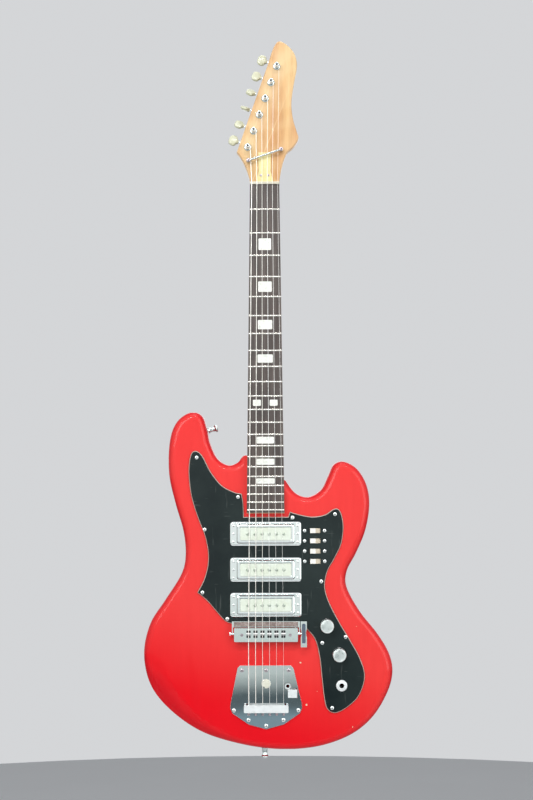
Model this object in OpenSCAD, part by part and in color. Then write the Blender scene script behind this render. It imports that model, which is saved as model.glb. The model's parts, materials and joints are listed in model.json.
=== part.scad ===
// Solid-body electric guitar with a bolt-on neck, three pickups and a vibrato tailpiece.
// +Z runs up the neck, the strings face -Y, and +X is the treble side.
// The origin is on the centre line where the fingerboard meets the nut.

/* [Neck] */
// String length from the nut to the saddles
scale_len = 628.65; // [610:0.5:650]
// Number of frets
fret_count = 22; // [20:1:22]
// Neck width at the nut
nut_w = 41; // [40:0.5:44]
// Fingerboard width at its lower end
board_end_w = 52; // [50:0.5:54]
// Cross radius of the fingerboard's face
board_radius = 305; // [240:5:500]
// Fingerboard thickness at its middle
board_t = 6; // [5:0.5:7]
// Fingerboard and neck together, at the nut
neck_depth_nut = 21; // [19.5:0.5:22]
// Fingerboard and neck together, at the twelfth fret
neck_depth_mid = 23; // [22:0.5:24]
// Height of a fret's crown
fret_h = 1.1; // [0.8:0.1:1.3]
// Width of a fret's crown
fret_w = 2.4; // [2:0.1:3]

/* [Body] */
// Body thickness
body_t = 38; // [36:0.5:42]
// Distance from the fingerboard's face back to the body's face
body_drop = 9; // [8.5:0.25:10]
// Width of the rounded edge, seen from the front
edge_round = 7; // [4:0.5:8]
// Thickness of the pickguard
guard_t = 2.5; // [2:0.25:3]

/* [Headstock] */
// Headstock thickness
head_t = 14.5; // [13:0.5:16]
// Distance between neighbouring tuner posts
post_pitch = 24.4; // [23:0.1:25]
// Lean of the line of posts away from the neck's axis
post_lean = 19.6; // [18:0.1:21]
// Radius of a tuner post
post_r = 3; // [2.8:0.1:3.2]
// Width of a tuner button
button_w = 15.5; // [14:0.5:17]
// Length of a tuner button
button_l = 14; // [12:0.5:15]

/* [Pickups and controls] */
// Outer width of a pickup ring
ring_w = 98; // [94:1:100]
// Outer height of a pickup ring
ring_h = 33; // [31:0.5:34]
// Distance between pole screws
pole_pitch = 9.9; // [9.5:0.1:10.4]
// Diameter of a control knob
knob_d = 18.5; // [16:0.5:20]
// Travel of a rocker switch, in degrees
rocker_travel = 24; // [16:1:28]

/* [Bridge and tail] */
// Distance between the outer strings at the saddles
saddle_span = 47.5; // [46:0.5:50]
// Distance between the outer strings at the nut
nut_span = 36; // [34:0.5:37]
// Width of the bridge plate
bridge_w = 87; // [84:1:90]
// Widest width of the vibrato plate
vibrato_w = 98; // [94:1:102]
// Width of the string bar
string_bar_w = 60.5; // [58:0.5:64]
// Radius of the vibrato arm's socket
arm_socket_r = 2.5; // [2:0.1:3]

/* [Hidden] */
$fn = 48;
eps = 0.01;
fit_gap = 0.05;
clear_gap = 0.3;

// ---- levels, measured back from the fingerboard's face
face_y = body_drop;
back_y = body_drop + body_t;
guard_y = face_y - guard_t;
head_y = board_t;
head_back_y = head_y + head_t;
heel_back_y = 25;
board_end_z = -456;
heel_z = -457;
nut_t = 3.5;

// ---- the body's rounded rim, as [inset, depth] all the way round its section
rim_section = [
    [edge_round, face_y], [edge_round * 0.3, face_y + edge_round * 0.22],
    [0, face_y + edge_round * 0.85], [0, back_y - edge_round * 0.85],
    [edge_round * 0.3, back_y - edge_round * 0.22], [edge_round, back_y],
    [edge_round + 2, back_y - 2], [edge_round + 2, face_y + 2],
];

// ---- neck sections, as [z, depth at the back, squareness of the back]
neck_stations = [
    [14, head_back_y - 0.6, 2], [0, neck_depth_nut, 2], [-40, neck_depth_nut + 0.2, 2],
    [-160, neck_depth_nut + 0.9, 2], [-314, neck_depth_mid, 2.2],
    [-345, neck_depth_mid + 0.4, 2.6], [-366, heel_back_y - 0.8, 3.6],
    [-380, heel_back_y, 8], [heel_z, heel_back_y, 14],
];
neck_steps = 14;
pocket_top_z = -360;

// ---- truss rod, its channel and the pocket of its nut
rod_r = 2.4;
rod_y = board_t + 4.5;
rod_nut_r = 3.9;
channel_w = 5.6;

// ---- outlines, as runs of hand-set points that meet at corners, [x, z]
body_runs = [
    [[28, -412], [41, -429], [59, -435], [77, -425], [87, -406], [95, -390], [109, -386],
     [127, -396], [140, -418], [144, -446], [138, -481], [125, -512], [112, -537],
     [112, -560], [130, -593], [153, -622], [169, -649], [174, -674], [167, -702],
     [147, -735], [118, -759], [79, -774], [38, -779.5], [-1, -778], [-41, -771],
     [-83, -758], [-117, -738], [-147, -710], [-163, -681], [-168, -644], [-159, -607],
     [-139, -576], [-117, -541], [-111, -515], [-114, -481], [-125, -443], [-134, -402],
     [-133, -357], [-123, -330], [-104, -317], [-88, -322], [-81, -342], [-77, -360],
     [-67, -381], [-52, -390.5], [-39, -387], [-26.6, -377], [2, -398], [28, -412]],
];
guard_runs = [
    [[-30, -462], [31, -462]],
    [[31, -462], [33.5, -455]],
    [[33.5, -455], [47, -459], [65, -462], [82, -459], [95, -451], [103, -455],
     [107, -474], [104, -499], [94, -520], [85, -536], [81, -556], [86, -577],
     [100, -605], [115, -630], [129, -656], [135, -680], [127, -705], [111, -721],
     [94, -729], [83, -723], [79, -707], [76, -680], [73, -652], [67, -629], [55, -614]],
    [[55, -614], [-46, -607.5]],
    [[-46, -607.5], [-56, -604], [-67, -592], [-80, -577], [-94, -565]],
    [[-94, -565], [-84, -545], [-79, -519], [-83, -490], [-94, -461], [-103, -430],
     [-106, -398], [-103, -376], [-96, -371], [-87, -378], [-76, -399], [-61, -418],
     [-44, -427.5], [-33, -430]],
    [[-33, -430], [-31, -442], [-30, -462]],
];
head_runs = [
    [[-20.5, 0], [-21.5, 10], [-25.5, 23], [-32, 37], [-39, 47]],
    [[-39, 47], [6, 175]],
    [[6, 175], [11, 191], [16, 201], [22.5, 205], [34, 198], [43, 186], [46, 169],
     [41.5, 144], [38, 117], [40, 95], [45, 77], [47.5, 66], [40.5, 54.5], [31.5, 46],
     [25.5, 31], [21.5, 12], [20.5, 0]],
];

// ---- a smooth run through its points, by the Catmull-Rom rule
function curve_at(a, b, c, d, t) =
    0.5 * (2 * b + (c - a) * t + (2 * a - 5 * b + 4 * c - d) * t * t
           + (3 * b - a - 3 * c + d) * t * t * t);
function smooth_run(p, n) =
    len(p) == 2 ? [p[0]] :
    [for (i = [0:len(p) - 2]) for (k = [0:n - 1])
        curve_at(p[max(i - 1, 0)], p[i], p[i + 1], p[min(i + 2, len(p) - 1)], k / n)];
function outline(runs, n) = [for (run = runs) for (q = smooth_run(run, n)) q];
body_outline = outline(body_runs, 2);
guard_outline = outline(guard_runs, 3);
head_outline = outline(head_runs, 3);

// ---- an outline moved inward by d, for outlines listed clockwise seen from the front
function unit(v) = v / norm(v);
function inward(p, d) =
    [for (i = [0:len(p) - 1])
        let (before = unit(p[i] - p[(i + len(p) - 1) % len(p)]),
             after = unit(p[(i + 1) % len(p)] - p[i]),
             middle = (before + after) / (1 + before * after))
        p[i] + d * [middle[1], -middle[0]]];

// ---- strings: gauges from bass to treble, and their places across the neck
string_d = [1.2, 0.95, 0.7, 0.5, 0.4, 0.3];
tube_sides = 8;
ball_r = 1.9;
wrap_y = 1.6;
function string_x(i, span) = (i - 2.5) * span / 5;
function crown_y(x) = x * x / (2 * board_radius);
nut_top_y = -1.7;
saddle_top_y = -4.7;
saddle_z = -621;
bar_y = -2;
bar_z = -722;

// ---- headstock trim: the truss rod cover, and the bar that presses the strings down
cover_t = 1.6;
cover_outline = [[-11.8, 4.2], [11.8, 4.2], [8.4, 20], [8.8, 46], [-8.8, 46], [-8.4, 20]];
cover_screw_spots = [[-5, 13.6], [5, 13.6]];
retainer_spots = [[-22.8, 33.4], [23, 49]];
retainer_y = -0.9;
retainer_r = 1.4;
retainer_foot_r = 2.4;

// ---- tuner posts, 1 on the bass side by the nut, 6 at the tip
first_post = [-23.5, 53.8];
lean_v = [sin(post_lean), cos(post_lean)];
side_v = [-cos(post_lean), sin(post_lean)];
posts = [for (i = [0:5]) first_post + i * post_pitch * lean_v];
bushing_r = 4.2;
flange_r = 5.4;
post_top_y = -5.4;
gear_r = 4.2;
worm_r = 1.8;
worm_shift = gear_r + worm_r + clear_gap;
strip_t = 1.2;
strip_h = 17;
ear_t = 1.4;
ear_w = 6.8;
gear_y = head_back_y + strip_t + 0.6;
gear_t = 3.4;
shaft_y = gear_y + gear_t / 2;
shaft_r = 1.5;
ear_at = 6;
button_at = 16.5;
button_turns = [10, 40, 80, 50, 20, 5];
button_t = 6;
button_mid = button_l / 2 + 1;
strip_screw_spots = [for (i = [0:6]) first_post + (i - 0.36) * post_pitch * lean_v - 6 * side_v];

// ---- frets by equal temperament
function fret_z(n) = -scale_len * (1 - pow(2, -n / 12));
function board_w(z) = nut_w + (board_end_w - nut_w) * z / board_end_z;
fret_slot = 0.6;
fret_tang_y = 2.4;
inlay_frets = [3, 5, 7, 9, 15, 17, 19];
inlay_sink = 0.3;
inlay_floor_y = 1.5;
inlay_corner = 1.4;
pair_spots = [-11.5, 11.5];
pair_size = [11, 8.5];

// ---- pickups and controls
pickup_z = [-485, -534, -582];
ring_t = 2.2;
cover_w = 78;
cover_h = 25;
cover_top_y = -1.2;
cover_back_y = 22;
insert_w = 70;
insert_h = 17.5;
insert_lip = 1.5;
pole_r = 1.6;
ring_screw_x = 44;
ring_screw_dz = [-11, 0, 11];
switch_x = 67.5;
switch_z = [-481, -495, -509, -523];
switch_screw_x = [53.5, 81];
pivot_y = 10.5;
rocker_w = 12.7;
rocker_h = 6.5;
rocker_rise = 5.3;
rocker_r = norm([rocker_w / 2, rocker_rise]);
pin_r = 0.9;
slot_half = sqrt(pow(rocker_r + 0.35, 2) - pow(pivot_y - face_y, 2));
housing_w = 32;
housing_h = 12.6;
housing_back_y = 22;
knob_spots = [[83.3, -610.5], [99.9, -649.3]];
knob_r = knob_d / 2;
knob_top_y = -9;
knob_foot_y = 4.6;
flute_r = 0.8;
pot_r = 12;
pot_back_y = 21;
pot_neck_r = 4.7;
shaft_end_y = 14;
control_shaft_r = 3;
jack_spot = [103.2, -692];
jack_bore_r = 3.25;
jack_ring_r = 7.75;
jack_body_r = 8;
jack_ring_t = 2.4;
contact_y = [20, 31];
wire_r = 0.9;
wire_runs = [
    [[30, 24, -485], [38, 26, -495], [45, 26, -500], [51, 27, -502]],
    [[61, 27, -524], [63, 25, -540], [64, 25, -585], [65, 25, -602], [70, 24, -608.5],
     [75, 24, -610]],
    [[88, 27, -620], [91, 27, -632], [95, 27, -641]],
    [[101, 25, -661], [101, 26, -672], [102, 24, -680]],
];
capacitor = [93, -628];
guard_screw_spots = [
    [-95, -380], [-38, -434.5], [-84, -479], [-87, -565], [-53, -601], [37, -463],
    [95.5, -458.5], [76, -550.5], [109, -626], [77, -634], [90, -722],
];

// ---- cavities in the body, as [x, z, width, height, depth of the floor]
cavity_boxes = [
    [0, -534, 84, 128, 30],
    [58, -502, 56, 58, 32],
    [64, -567, 12, 90, 28],
    [91, -632, 16, 44, 30],
    [101, -670, 14, 44, 30],
    [0, -706.2, 60, 56.6, 34],
    [32, -700, 20, 26, 24],
];
pot_cavity_r = 14.5;
pot_floor_y = 33;
jack_cavity_r = 13;
jack_floor_y = 36;

// ---- bridge, mute and vibrato
bridge_z = -622.2;
bridge_h = 18.6;
bridge_top_y = -2.4;
bridge_t = 1.6;
bridge_wall = 1.6;
bridge_under_y = bridge_top_y + bridge_t;
bridge_ear_y = 5.4;
slot_size = [5.6, 3.2];
slot_dz = 3.4;
post_x = 33;
post_depth = 15;
neck_top_y = bridge_under_y + 1.1;
mute_axis = [2.4, -621];
mute_axle_r = 1.5;
mute_ends = [-48, 50];
neck_foot_y = mute_axis[0] + mute_axle_r + clear_gap + 0.1;
mute_pad_z = -608;
mute_pad_w = 88;
mute_strip_y = 1.3;
lever_x = 51.6;
lever_z = -621.5;
lever_w = 8.4;
lever_l = 35;
lever_waist_r = 14.4;
lever_y = [-1.4, 0];
plate_y = face_y - 2.2;
vibrato_half = vibrato_w / 2;
vibrato_outline = [
    [-35.5, -664.5], [33.8, -664.5], [37.3, -668], [vibrato_half - 0.4, -716],
    [vibrato_half, -722], [vibrato_half - 3, -729], [24, -744], [0, -750.5], [-24, -744],
    [3 - vibrato_half, -729], [-vibrato_half, -722], [0.4 - vibrato_half, -716],
    [-39, -668],
];
dome_z = -689;
tail_pivot = [14, -729];
tail_axle_r = 2;
tail_ear_x = 28.4;
rocker_plate_y = [14, 16];
bar_h = 9.5;
bar_t = 5.8;
web_t = 3;
tail_knuckle_x = 20;
tab_spot = [36, -702];
tab_size = [12.4, 11];
tab_y = [2.1, 3.5];
tab_stem_x = 39;
arm_boss_r = arm_socket_r + 1.5;
spring_spots = [-14, 14];
spring_z = -698;
spring_end_y = 34;
arm_spot = [29.6, -692.7];
tail_screw_spots = [
    [-33, -671], [0, -671], [31, -671], [-44, -725], [-24, -738], [0, -746], [23.5, -738],
    [44, -725],
];
plate_screw_spots = [[-18, -419], [18, -419], [-18, -450], [18, -450]];
plate_t = 1.5;
strap_horn = [-80.3, -342];
strap_tilt = 16;
strap_tail = [-2, -779];
strap_bed = 0.5;
strap_screw_r = 1.6;
strap_button_h = 13;
body_mid_y = face_y + body_t / 2;

// ---- screws, as [head radius, head height, shank radius, shank length]
cover_screw = [1.9, 1, 0.9, 7];
retainer_screw = [3, 1.6, 1.5, retainer_r + head_y - retainer_y + 6];
strip_screw = [2, 1.2, 1.1, 8];
guard_screw = [2.6, 1.5, 1.25, 10];
ring_screw = [1.7, 0.9, 1, ring_t + guard_t - clear_gap];
pole_screw = [2.4, 0.7, pole_r, 16];
switch_screw = [2.4, 1.4, 1.2, guard_t + 4];
tail_screw = [2.7, 1.4, 1.4, 12];
plate_screw = [4, 2, 2.2, back_y + plate_t - 13];

// ---- shared shapes
// A flat plate of an [x, z] outline, from depth y0 back to y1
module slab(points, y0, y1) {
    translate([0, y1, 0])
        rotate([90, 0, 0])
            linear_extrude(y1 - y0)
                polygon(points);
}

// A round bar along Y, from depth y0 back to y1
module peg(x, z, y0, y1, r) {
    translate([x, y1, z])
        rotate([90, 0, 0])
            cylinder(r = r, h = y1 - y0);
}

// A box given by its middle in x and z, its size and its depths
module block(x, z, w, h, y0, y1) {
    translate([x - w / 2, y0, z - h / 2])
        cube([w, y1 - y0, h]);
}

// A plate with round corners, seen from the front
function round_rect(x, z, w, h, r) =
    [for (q = [0:3]) for (a = [0:22.5:90])
        let (sx = q == 0 || q == 3 ? 1 : -1, sz = q < 2 ? 1 : -1, turn = 90 * q + a)
        [x + sx * (w / 2 - r) + r * cos(turn), z + sz * (h / 2 - r) + r * sin(turn)]];
module round_block(x, z, w, h, y0, y1, r) {
    slab(round_rect(x, z, w, h, r), y0, y1);
}

// A bar along X
module rod_x(y, z, x0, x1, r) {
    translate([x0, y, z])
        rotate([0, 90, 0])
            cylinder(r = r, h = x1 - x0);
}

// A bar between two points
module rod(a, b, r) {
    along = b - a;
    translate(a)
        rotate([0, acos(along[2] / norm(along)), atan2(along[1], along[0])])
            cylinder(r = r, h = norm(along));
}

// A tube that bends along its path, for strings and wires
function tube_ring(path, i, r) =
    let (last = len(path) - 1,
         along = unit(path[min(i + 1, last)] - path[max(i - 1, 0)]),
         u = unit(cross(along, [1, 0.1, 0.2])), v = cross(along, u))
    [for (k = [0:tube_sides - 1])
        let (a = 360 * k / tube_sides) path[i] + r * (cos(a) * u + sin(a) * v)];
module tube(path, r) {
    n = tube_sides;
    last = len(path) - 1;
    sides = [for (i = [0:last - 1]) for (k = [0:n - 1])
        let (j = (k + 1) % n)
        each [[i * n + k, (i + 1) * n + j, i * n + j],
              [i * n + k, (i + 1) * n + k, (i + 1) * n + j]]];
    start = [for (k = [0:n - 1]) k];
    end = [for (k = [0:n - 1]) last * n + n - 1 - k];
    polyhedron([for (i = [0:last]) each tube_ring(path, i, r)],
               concat([start], sides, [end]));
}

// A dome-headed screw pointing back along Y, its head's underside at depth y
module screw(x, z, y, size) {
    head_r = size[0];
    head_h = size[1];
    translate([x, y, z])
        rotate([90, 0, 0])
            difference() {
                union() {
                    rotate_extrude()
                        polygon([[0, 0], [head_r, 0], [head_r, head_h * 0.35],
                                 [head_r * 0.7, head_h * 0.85], [0, head_h]]);
                    translate([0, 0, -size[3]])
                        cylinder(r = size[2], h = size[3] + eps);
                }
                for (turn = [0, 90])
                    rotate([0, 0, turn])
                        translate([-head_r * 0.6, -0.25, head_h * 0.5])
                            cube([head_r * 1.2, 0.5, head_h]);
            }
}

// The hole that a screw turns into, from the body's face to a little past the screw's tip
module pilot(spot, y, size) {
    peg(spot[0], spot[1], face_y - 1, y + size[3] + 1, size[2] + fit_gap);
}

// The space that a curved fingerboard leaves under its face
module under_crown(lift) {
    translate([0, board_radius - lift, heel_z - 20])
        cylinder(r = board_radius, h = 500, $fn = 400);
}

// ---- wood
module body_blank() {
    n = len(body_outline);
    rings = len(rim_section);
    points = [for (ring = rim_section) for (q = inward(body_outline, ring[0]))
        [q[0], ring[1], q[1]]];
    sides = [for (r = [0:rings - 1]) for (i = [0:n - 1])
        let (j = (i + 1) % n, s = (r + 1) % rings)
        each [[r * n + i, s * n + j, r * n + j], [r * n + i, s * n + i, s * n + j]]];
    polyhedron(points, sides);
    slab(inward(body_outline, edge_round), face_y, back_y);
}

module neck_pocket() {
    top_w = board_w(pocket_top_z) / 2;
    end_w = board_w(heel_z) / 2;
    slab([[-top_w, pocket_top_z], [top_w, pocket_top_z], [end_w, heel_z], [-end_w, heel_z]],
         face_y - 1, heel_back_y);
}

module cavities() {
    for (c = cavity_boxes)
        block(c[0], c[1], c[2], c[3], face_y - 1, c[4]);
    for (spot = knob_spots)
        peg(spot[0], spot[1], face_y - 1, pot_floor_y, pot_cavity_r);
    peg(jack_spot[0], jack_spot[1], face_y - 1, jack_floor_y, jack_cavity_r);
}

module body() {
    color([0.86, 0.07, 0.06])
        difference() {
            body_blank();
            neck_pocket();
            cavities();
            for (s = guard_screw_spots)
                pilot(s, guard_y, guard_screw);
            for (s = tail_screw_spots)
                pilot(s, plate_y, tail_screw);
            for (s = plate_screw_spots)
                peg(s[0], s[1], heel_back_y - 1, back_y + 1, plate_screw[2] + fit_gap);
            for (x = [-post_x, post_x])
                peg(x, bridge_z, face_y - 1, face_y + post_depth, post_r + fit_gap);
            at_strap_spots()
                translate([0, 0, -21])
                    cylinder(r = strap_screw_r + fit_gap, h = 30);
        }
}

function neck_point(half_w, depth, power, k) =
    let (a = 180 * k / neck_steps, c = cos(a), s = sin(a))
    [half_w * sign(c) * pow(abs(c), 2 / power), board_t + depth * pow(s, 2 / power)];

module neck_shaft() {
    n = neck_steps + 1;
    last = len(neck_stations) - 1;
    points = [for (st = neck_stations) for (k = [0:neck_steps])
        let (q = neck_point(board_w(min(st[0], 0)) / 2, st[1] - board_t, st[2], k))
        [q[0], q[1], st[0]]];
    sides = [for (r = [0:last - 1]) for (k = [0:neck_steps])
        let (j = (k + 1) % n)
        each [[r * n + k, r * n + j, (r + 1) * n + j],
              [r * n + k, (r + 1) * n + j, (r + 1) * n + k]]];
    top = [for (k = [0:neck_steps]) neck_steps - k];
    bottom = [for (k = [0:neck_steps]) last * n + k];
    polyhedron(points, concat([top], sides, [bottom]));
}

module neck() {
    color([0.93, 0.74, 0.5])
        difference() {
            union() {
                neck_shaft();
                slab(head_outline, head_y, head_back_y);
            }
            for (p = posts)
                peg(p[0], p[1], head_y - 1, head_back_y + 1, bushing_r);
            block(0, -205, channel_w, 440, board_t - 1, board_t + 10);
            block(0, 16, 9, 24, board_t - 1, board_t + 9);
            for (s = plate_screw_spots)
                peg(s[0], s[1], 12, heel_back_y + 1, plate_screw[2] + fit_gap);
            for (s = cover_screw_spots)
                peg(s[0], s[1], head_y - 1, head_y + 7, cover_screw[2] + fit_gap);
            for (s = retainer_spots)
                peg(s[0], s[1], head_y - 1, head_y + 7, retainer_screw[2] + fit_gap);
            for (s = strip_screw_spots)
                peg(s[0], s[1], head_back_y - 8, head_back_y + 1, strip_screw[2] + fit_gap);
        }
}

module fingerboard() {
    half_nut = board_w(0) / 2;
    half_end = board_w(board_end_z) / 2;
    color([0.3, 0.22, 0.17])
        difference() {
            intersection() {
                slab([[-half_nut, 0], [half_nut, 0], [half_end, board_end_z],
                      [-half_end, board_end_z]], -2, board_t);
                under_crown(0);
            }
            for (n = [1:fret_count])
                fret_slot_block(n);
            inlay_blocks(-2);
        }
}

module fret_slot_block(n) {
    block(0, fret_z(n), 80, fret_slot, -2, fret_tang_y);
}

// ---- fret wire: a crown that follows the board, on a tang that sits in its slot
module frets() {
    color("silver")
        for (n = [1:fret_count])
            intersection() {
                union() {
                    translate([0, board_radius, fret_z(n) - fret_w / 2])
                        difference() {
                            cylinder(r = board_radius + fret_h, h = fret_w, $fn = 400);
                            translate([0, 0, -1])
                                cylinder(r = board_radius, h = fret_w + 2, $fn = 400);
                        }
                    intersection() {
                        fret_slot_block(n);
                        under_crown(eps);
                    }
                }
                block(0, fret_z(n), board_w(fret_z(n)), 4, -3, 4);
            }
}

// Inlays lie flat in their pockets, just under the board's curved face
module inlay_blocks(top) {
    for (n = inlay_frets) {
        gap = fret_z(n - 1) - fret_z(n);
        w = min(17 + 1.2 * n, board_w(fret_z(n)) - 26);
        h = gap * (n < 12 ? 0.52 : 0.6);
        round_block(0, fret_z(n) + gap / 2, w, h, top, inlay_floor_y, inlay_corner);
    }
    for (x = pair_spots)
        round_block(x, (fret_z(11) + fret_z(12)) / 2, pair_size[0], pair_size[1], top,
                    inlay_floor_y, inlay_corner);
}

module inlays() {
    color("ivory")
        inlay_blocks(inlay_sink);
}

module nut() {
    color("ivory")
        difference() {
            block(0, nut_t / 2, nut_w, nut_t, nut_top_y - 0.6, board_t);
            for (i = [0:5])
                block(string_x(i, nut_span), nut_t / 2, string_d[i] + 0.16, nut_t + 2,
                      nut_top_y - 2, nut_top_y + crown_y(string_x(i, nut_span)) + 0.5);
        }
}

// ---- truss rod in its channel under the fingerboard, with a nut in the head's pocket
module truss_rod() {
    color("dimgray") {
        translate([0, rod_y, -420])
            cylinder(r = rod_r, h = 438);
        translate([0, rod_y, 5])
            difference() {
                cylinder(r = rod_nut_r, h = 10, $fn = 6);
                translate([0, 0, -1])
                    cylinder(r = rod_r + fit_gap, h = 12);
            }
        block(0, -422, channel_w - 0.2, 4, board_t + 0.4, board_t + 9.4);
    }
}

module truss_rod_cover() {
    color([0.93, 0.86, 0.5])
        difference() {
            slab(cover_outline, head_y - cover_t, head_y);
            for (s = cover_screw_spots)
                peg(s[0], s[1], 0, head_y + 1, cover_screw[2] + 0.1);
        }
}

module headstock_screws() {
    color("silver") {
        for (s = cover_screw_spots)
            screw(s[0], s[1], head_y - cover_t, cover_screw);
        for (s = retainer_spots)
            screw(s[0], s[1], retainer_y - retainer_r, retainer_screw);
    }
}

// ---- bar that presses the strings down behind the nut
module string_retainer() {
    ends = [for (s = retainer_spots) [s[0], retainer_y, s[1]]];
    color("silver")
        difference() {
            union() {
                rod(ends[0], ends[1], retainer_r);
                for (s = retainer_spots)
                    peg(s[0], s[1], retainer_y - retainer_r, head_y, retainer_foot_r);
            }
            for (s = retainer_spots)
                peg(s[0], s[1], -10, 10, retainer_screw[2] + fit_gap);
        }
}

// ---- tuners: an open-geared strip of six worms behind the headstock
// Puts its child at post i, with +X along the row of posts and +Y up out of the key's side
module at_post(i) {
    translate([posts[i][0], 0, posts[i][1]])
        rotate([0, post_lean - 90, 0])
            children();
}

module tuner_strip() {
    color("silver")
        difference() {
            union() {
                at_post(0)
                    translate([-10.5, head_back_y, -9])
                        cube([5 * post_pitch + 27, strip_t, strip_h]);
                for (i = [0:5])
                    at_post(i)
                        for (side = [-1, 1])
                            translate([worm_shift - ear_w / 2, head_back_y,
                                       side * ear_at - ear_t / 2])
                                cube([ear_w, shaft_y + 3 - head_back_y, ear_t]);
            }
            for (i = [0:5])
                at_post(i) {
                    peg(0, 0, head_back_y - 1, head_back_y + 4, post_r + 0.15);
                    translate([worm_shift, shaft_y, -10])
                        cylinder(r = shaft_r + fit_gap, h = 20);
                }
            for (s = strip_screw_spots)
                peg(s[0], s[1], head_back_y - 1, head_back_y + 4, strip_screw[2] + fit_gap);
        }
}

module tuner_screws() {
    color("silver")
        for (s = strip_screw_spots)
            translate([s[0], head_back_y + strip_t, s[1]])
                rotate([180, 0, 0])
                    screw(0, 0, 0, strip_screw);
}

module post_bushings() {
    color("silver")
        for (p = posts)
            difference() {
                union() {
                    peg(p[0], p[1], head_y, head_back_y, bushing_r);
                    translate([p[0], head_y, p[1]])
                        rotate([90, 0, 0])
                            rotate_extrude()
                                polygon([[0, 0], [flange_r, 0], [flange_r - 0.2, 1],
                                         [flange_r - 1.1, 1.7], [0, 1.7]]);
                }
                peg(p[0], p[1], 0, head_back_y + 1, post_r + fit_gap);
            }
}

// A worm on its shaft, and the button on the shaft's outer end
module tuner_key(i) {
    at_post(i)
        translate([worm_shift, shaft_y, 0]) {
            color("silver") {
                translate([0, 0, -ear_at - 2])
                    cylinder(r = shaft_r, h = button_at + ear_at + 8);
                translate([0, 0, -ear_at + 1])
                    cylinder(r = worm_r, h = 2 * ear_at - 2);
            }
            color([0.9, 0.9, 0.78])
                translate([0, 0, button_at])
                    rotate([0, 0, button_turns[i]])
                        difference() {
                            tuner_button();
                            translate([0, 0, -1])
                                cylinder(r = shaft_r + fit_gap, h = 8);
                        }
        }
}

module tuner_button() {
    cylinder(r1 = 2.6, r2 = 3.4, h = 2);
    intersection() {
        translate([0, 0, button_mid])
            rotate([90, 0, 0])
                cylinder(r = button_w / 2, h = button_t, center = true);
        translate([0, 0, button_mid])
            cube([button_w, button_t, button_l - 2], center = true);
    }
}

module tuner_post(i) {
    d = string_d[i];
    p = posts[i];
    color("silver")
        difference() {
            union() {
                peg(p[0], p[1], post_top_y, gear_y, post_r);
                peg(p[0], p[1], gear_y, gear_y + gear_t, gear_r);
                peg(p[0], p[1], gear_y + gear_t, gear_y + gear_t + 1.2, 2.2);
            }
            peg(p[0], p[1], post_top_y - 1, post_top_y + 2, 1.1);
        }
    color("gainsboro")
        difference() {
            peg(p[0], p[1], wrap_y - 1.5 * d, wrap_y + 1.5 * d, post_r + d);
            peg(p[0], p[1], -6, 6, post_r + 0.02);
        }
}

// ---- strings, from the ball end behind the string bar to the tuner post
function string_path(i) =
    let (d = string_d[i], xs = string_x(i, saddle_span), xn = string_x(i, nut_span),
         p = posts[i], post_side = post_r + d / 2,
         stop = sqrt(pow(post_r + d + clear_gap, 2) - pow(post_side, 2)) + 0.3,
         x_end = p[0] + post_side,
         z_bar = retainer_z_on(xn, (x_end - xn) / p[1]))
    [[xs, bar_y, bar_z - 6], [xs, bar_y, bar_z + 8],
     [xs, saddle_top_y + crown_y(xs) - d / 2, saddle_z],
     [xn, nut_top_y + crown_y(xn) - d / 2, 0.3],
     [xn + (x_end - xn) * z_bar / p[1], retainer_y + retainer_r + d / 2 + 0.1, z_bar],
     [x_end, wrap_y, p[1] - stop]];

// The height at which a string that leaves the nut at x, leaning by slope, meets the bar
function retainer_z_on(x, slope) =
    let (run = retainer_spots[1] - retainer_spots[0], rise = run[1] / run[0])
    (retainer_spots[0][1] + (x - retainer_spots[0][0]) * rise) / (1 - slope * rise);

module strings() {
    color("gainsboro")
        for (i = [0:5]) {
            path = string_path(i);
            tube(path, string_d[i] / 2);
            translate(path[0] - [0, 0, 2.5])
                cylinder(r = ball_r, h = 3);
        }
}

// ---- pickguard
module pickguard() {
    color([0.05, 0.07, 0.07])
        difference() {
            slab(guard_outline, guard_y, face_y);
            for (z = pickup_z)
                block(0, z, cover_w + 1.5, cover_h + 1.5, guard_y - 1, face_y + 1);
            for (z = switch_z)
                block(switch_x, z, 2 * slot_half, rocker_h + 0.7, guard_y - 1, face_y + 1);
            for (z = switch_z, x = switch_screw_x)
                guard_hole(x, z, switch_screw[2] + fit_gap);
            for (s = knob_spots)
                guard_hole(s[0], s[1], pot_neck_r + 0.1);
            guard_hole(jack_spot[0], jack_spot[1], pot_neck_r + 0.1);
            for (s = guard_screw_spots)
                guard_hole(s[0], s[1], guard_screw[2] + 0.35);
            for (z = pickup_z, side = [-1, 1], dz = ring_screw_dz)
                guard_hole(side * ring_screw_x, z + dz, ring_screw[2] + fit_gap);
        }
}

module guard_hole(x, z, r) {
    peg(x, z, guard_y - 1, face_y + 1, r);
}

module pickguard_screws() {
    color("silver")
        for (s = guard_screw_spots)
            screw(s[0], s[1], guard_y, guard_screw);
}

// ---- pickups
module pickup_rings() {
    color("silver")
        for (z = pickup_z)
            difference() {
                round_block(0, z, ring_w, ring_h, guard_y - ring_t, guard_y, 4);
                block(0, z, cover_w + 1, cover_h + 1, 0, guard_y + 1);
                for (side = [-1, 1], dz = ring_screw_dz)
                    peg(side * ring_screw_x, z + dz, 0, guard_y + 1, ring_screw[2] + fit_gap);
            }
}

module ring_screws() {
    color("silver")
        for (z = pickup_z, side = [-1, 1], dz = ring_screw_dz)
            screw(side * ring_screw_x, z + dz, guard_y - ring_t, ring_screw);
}

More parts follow.
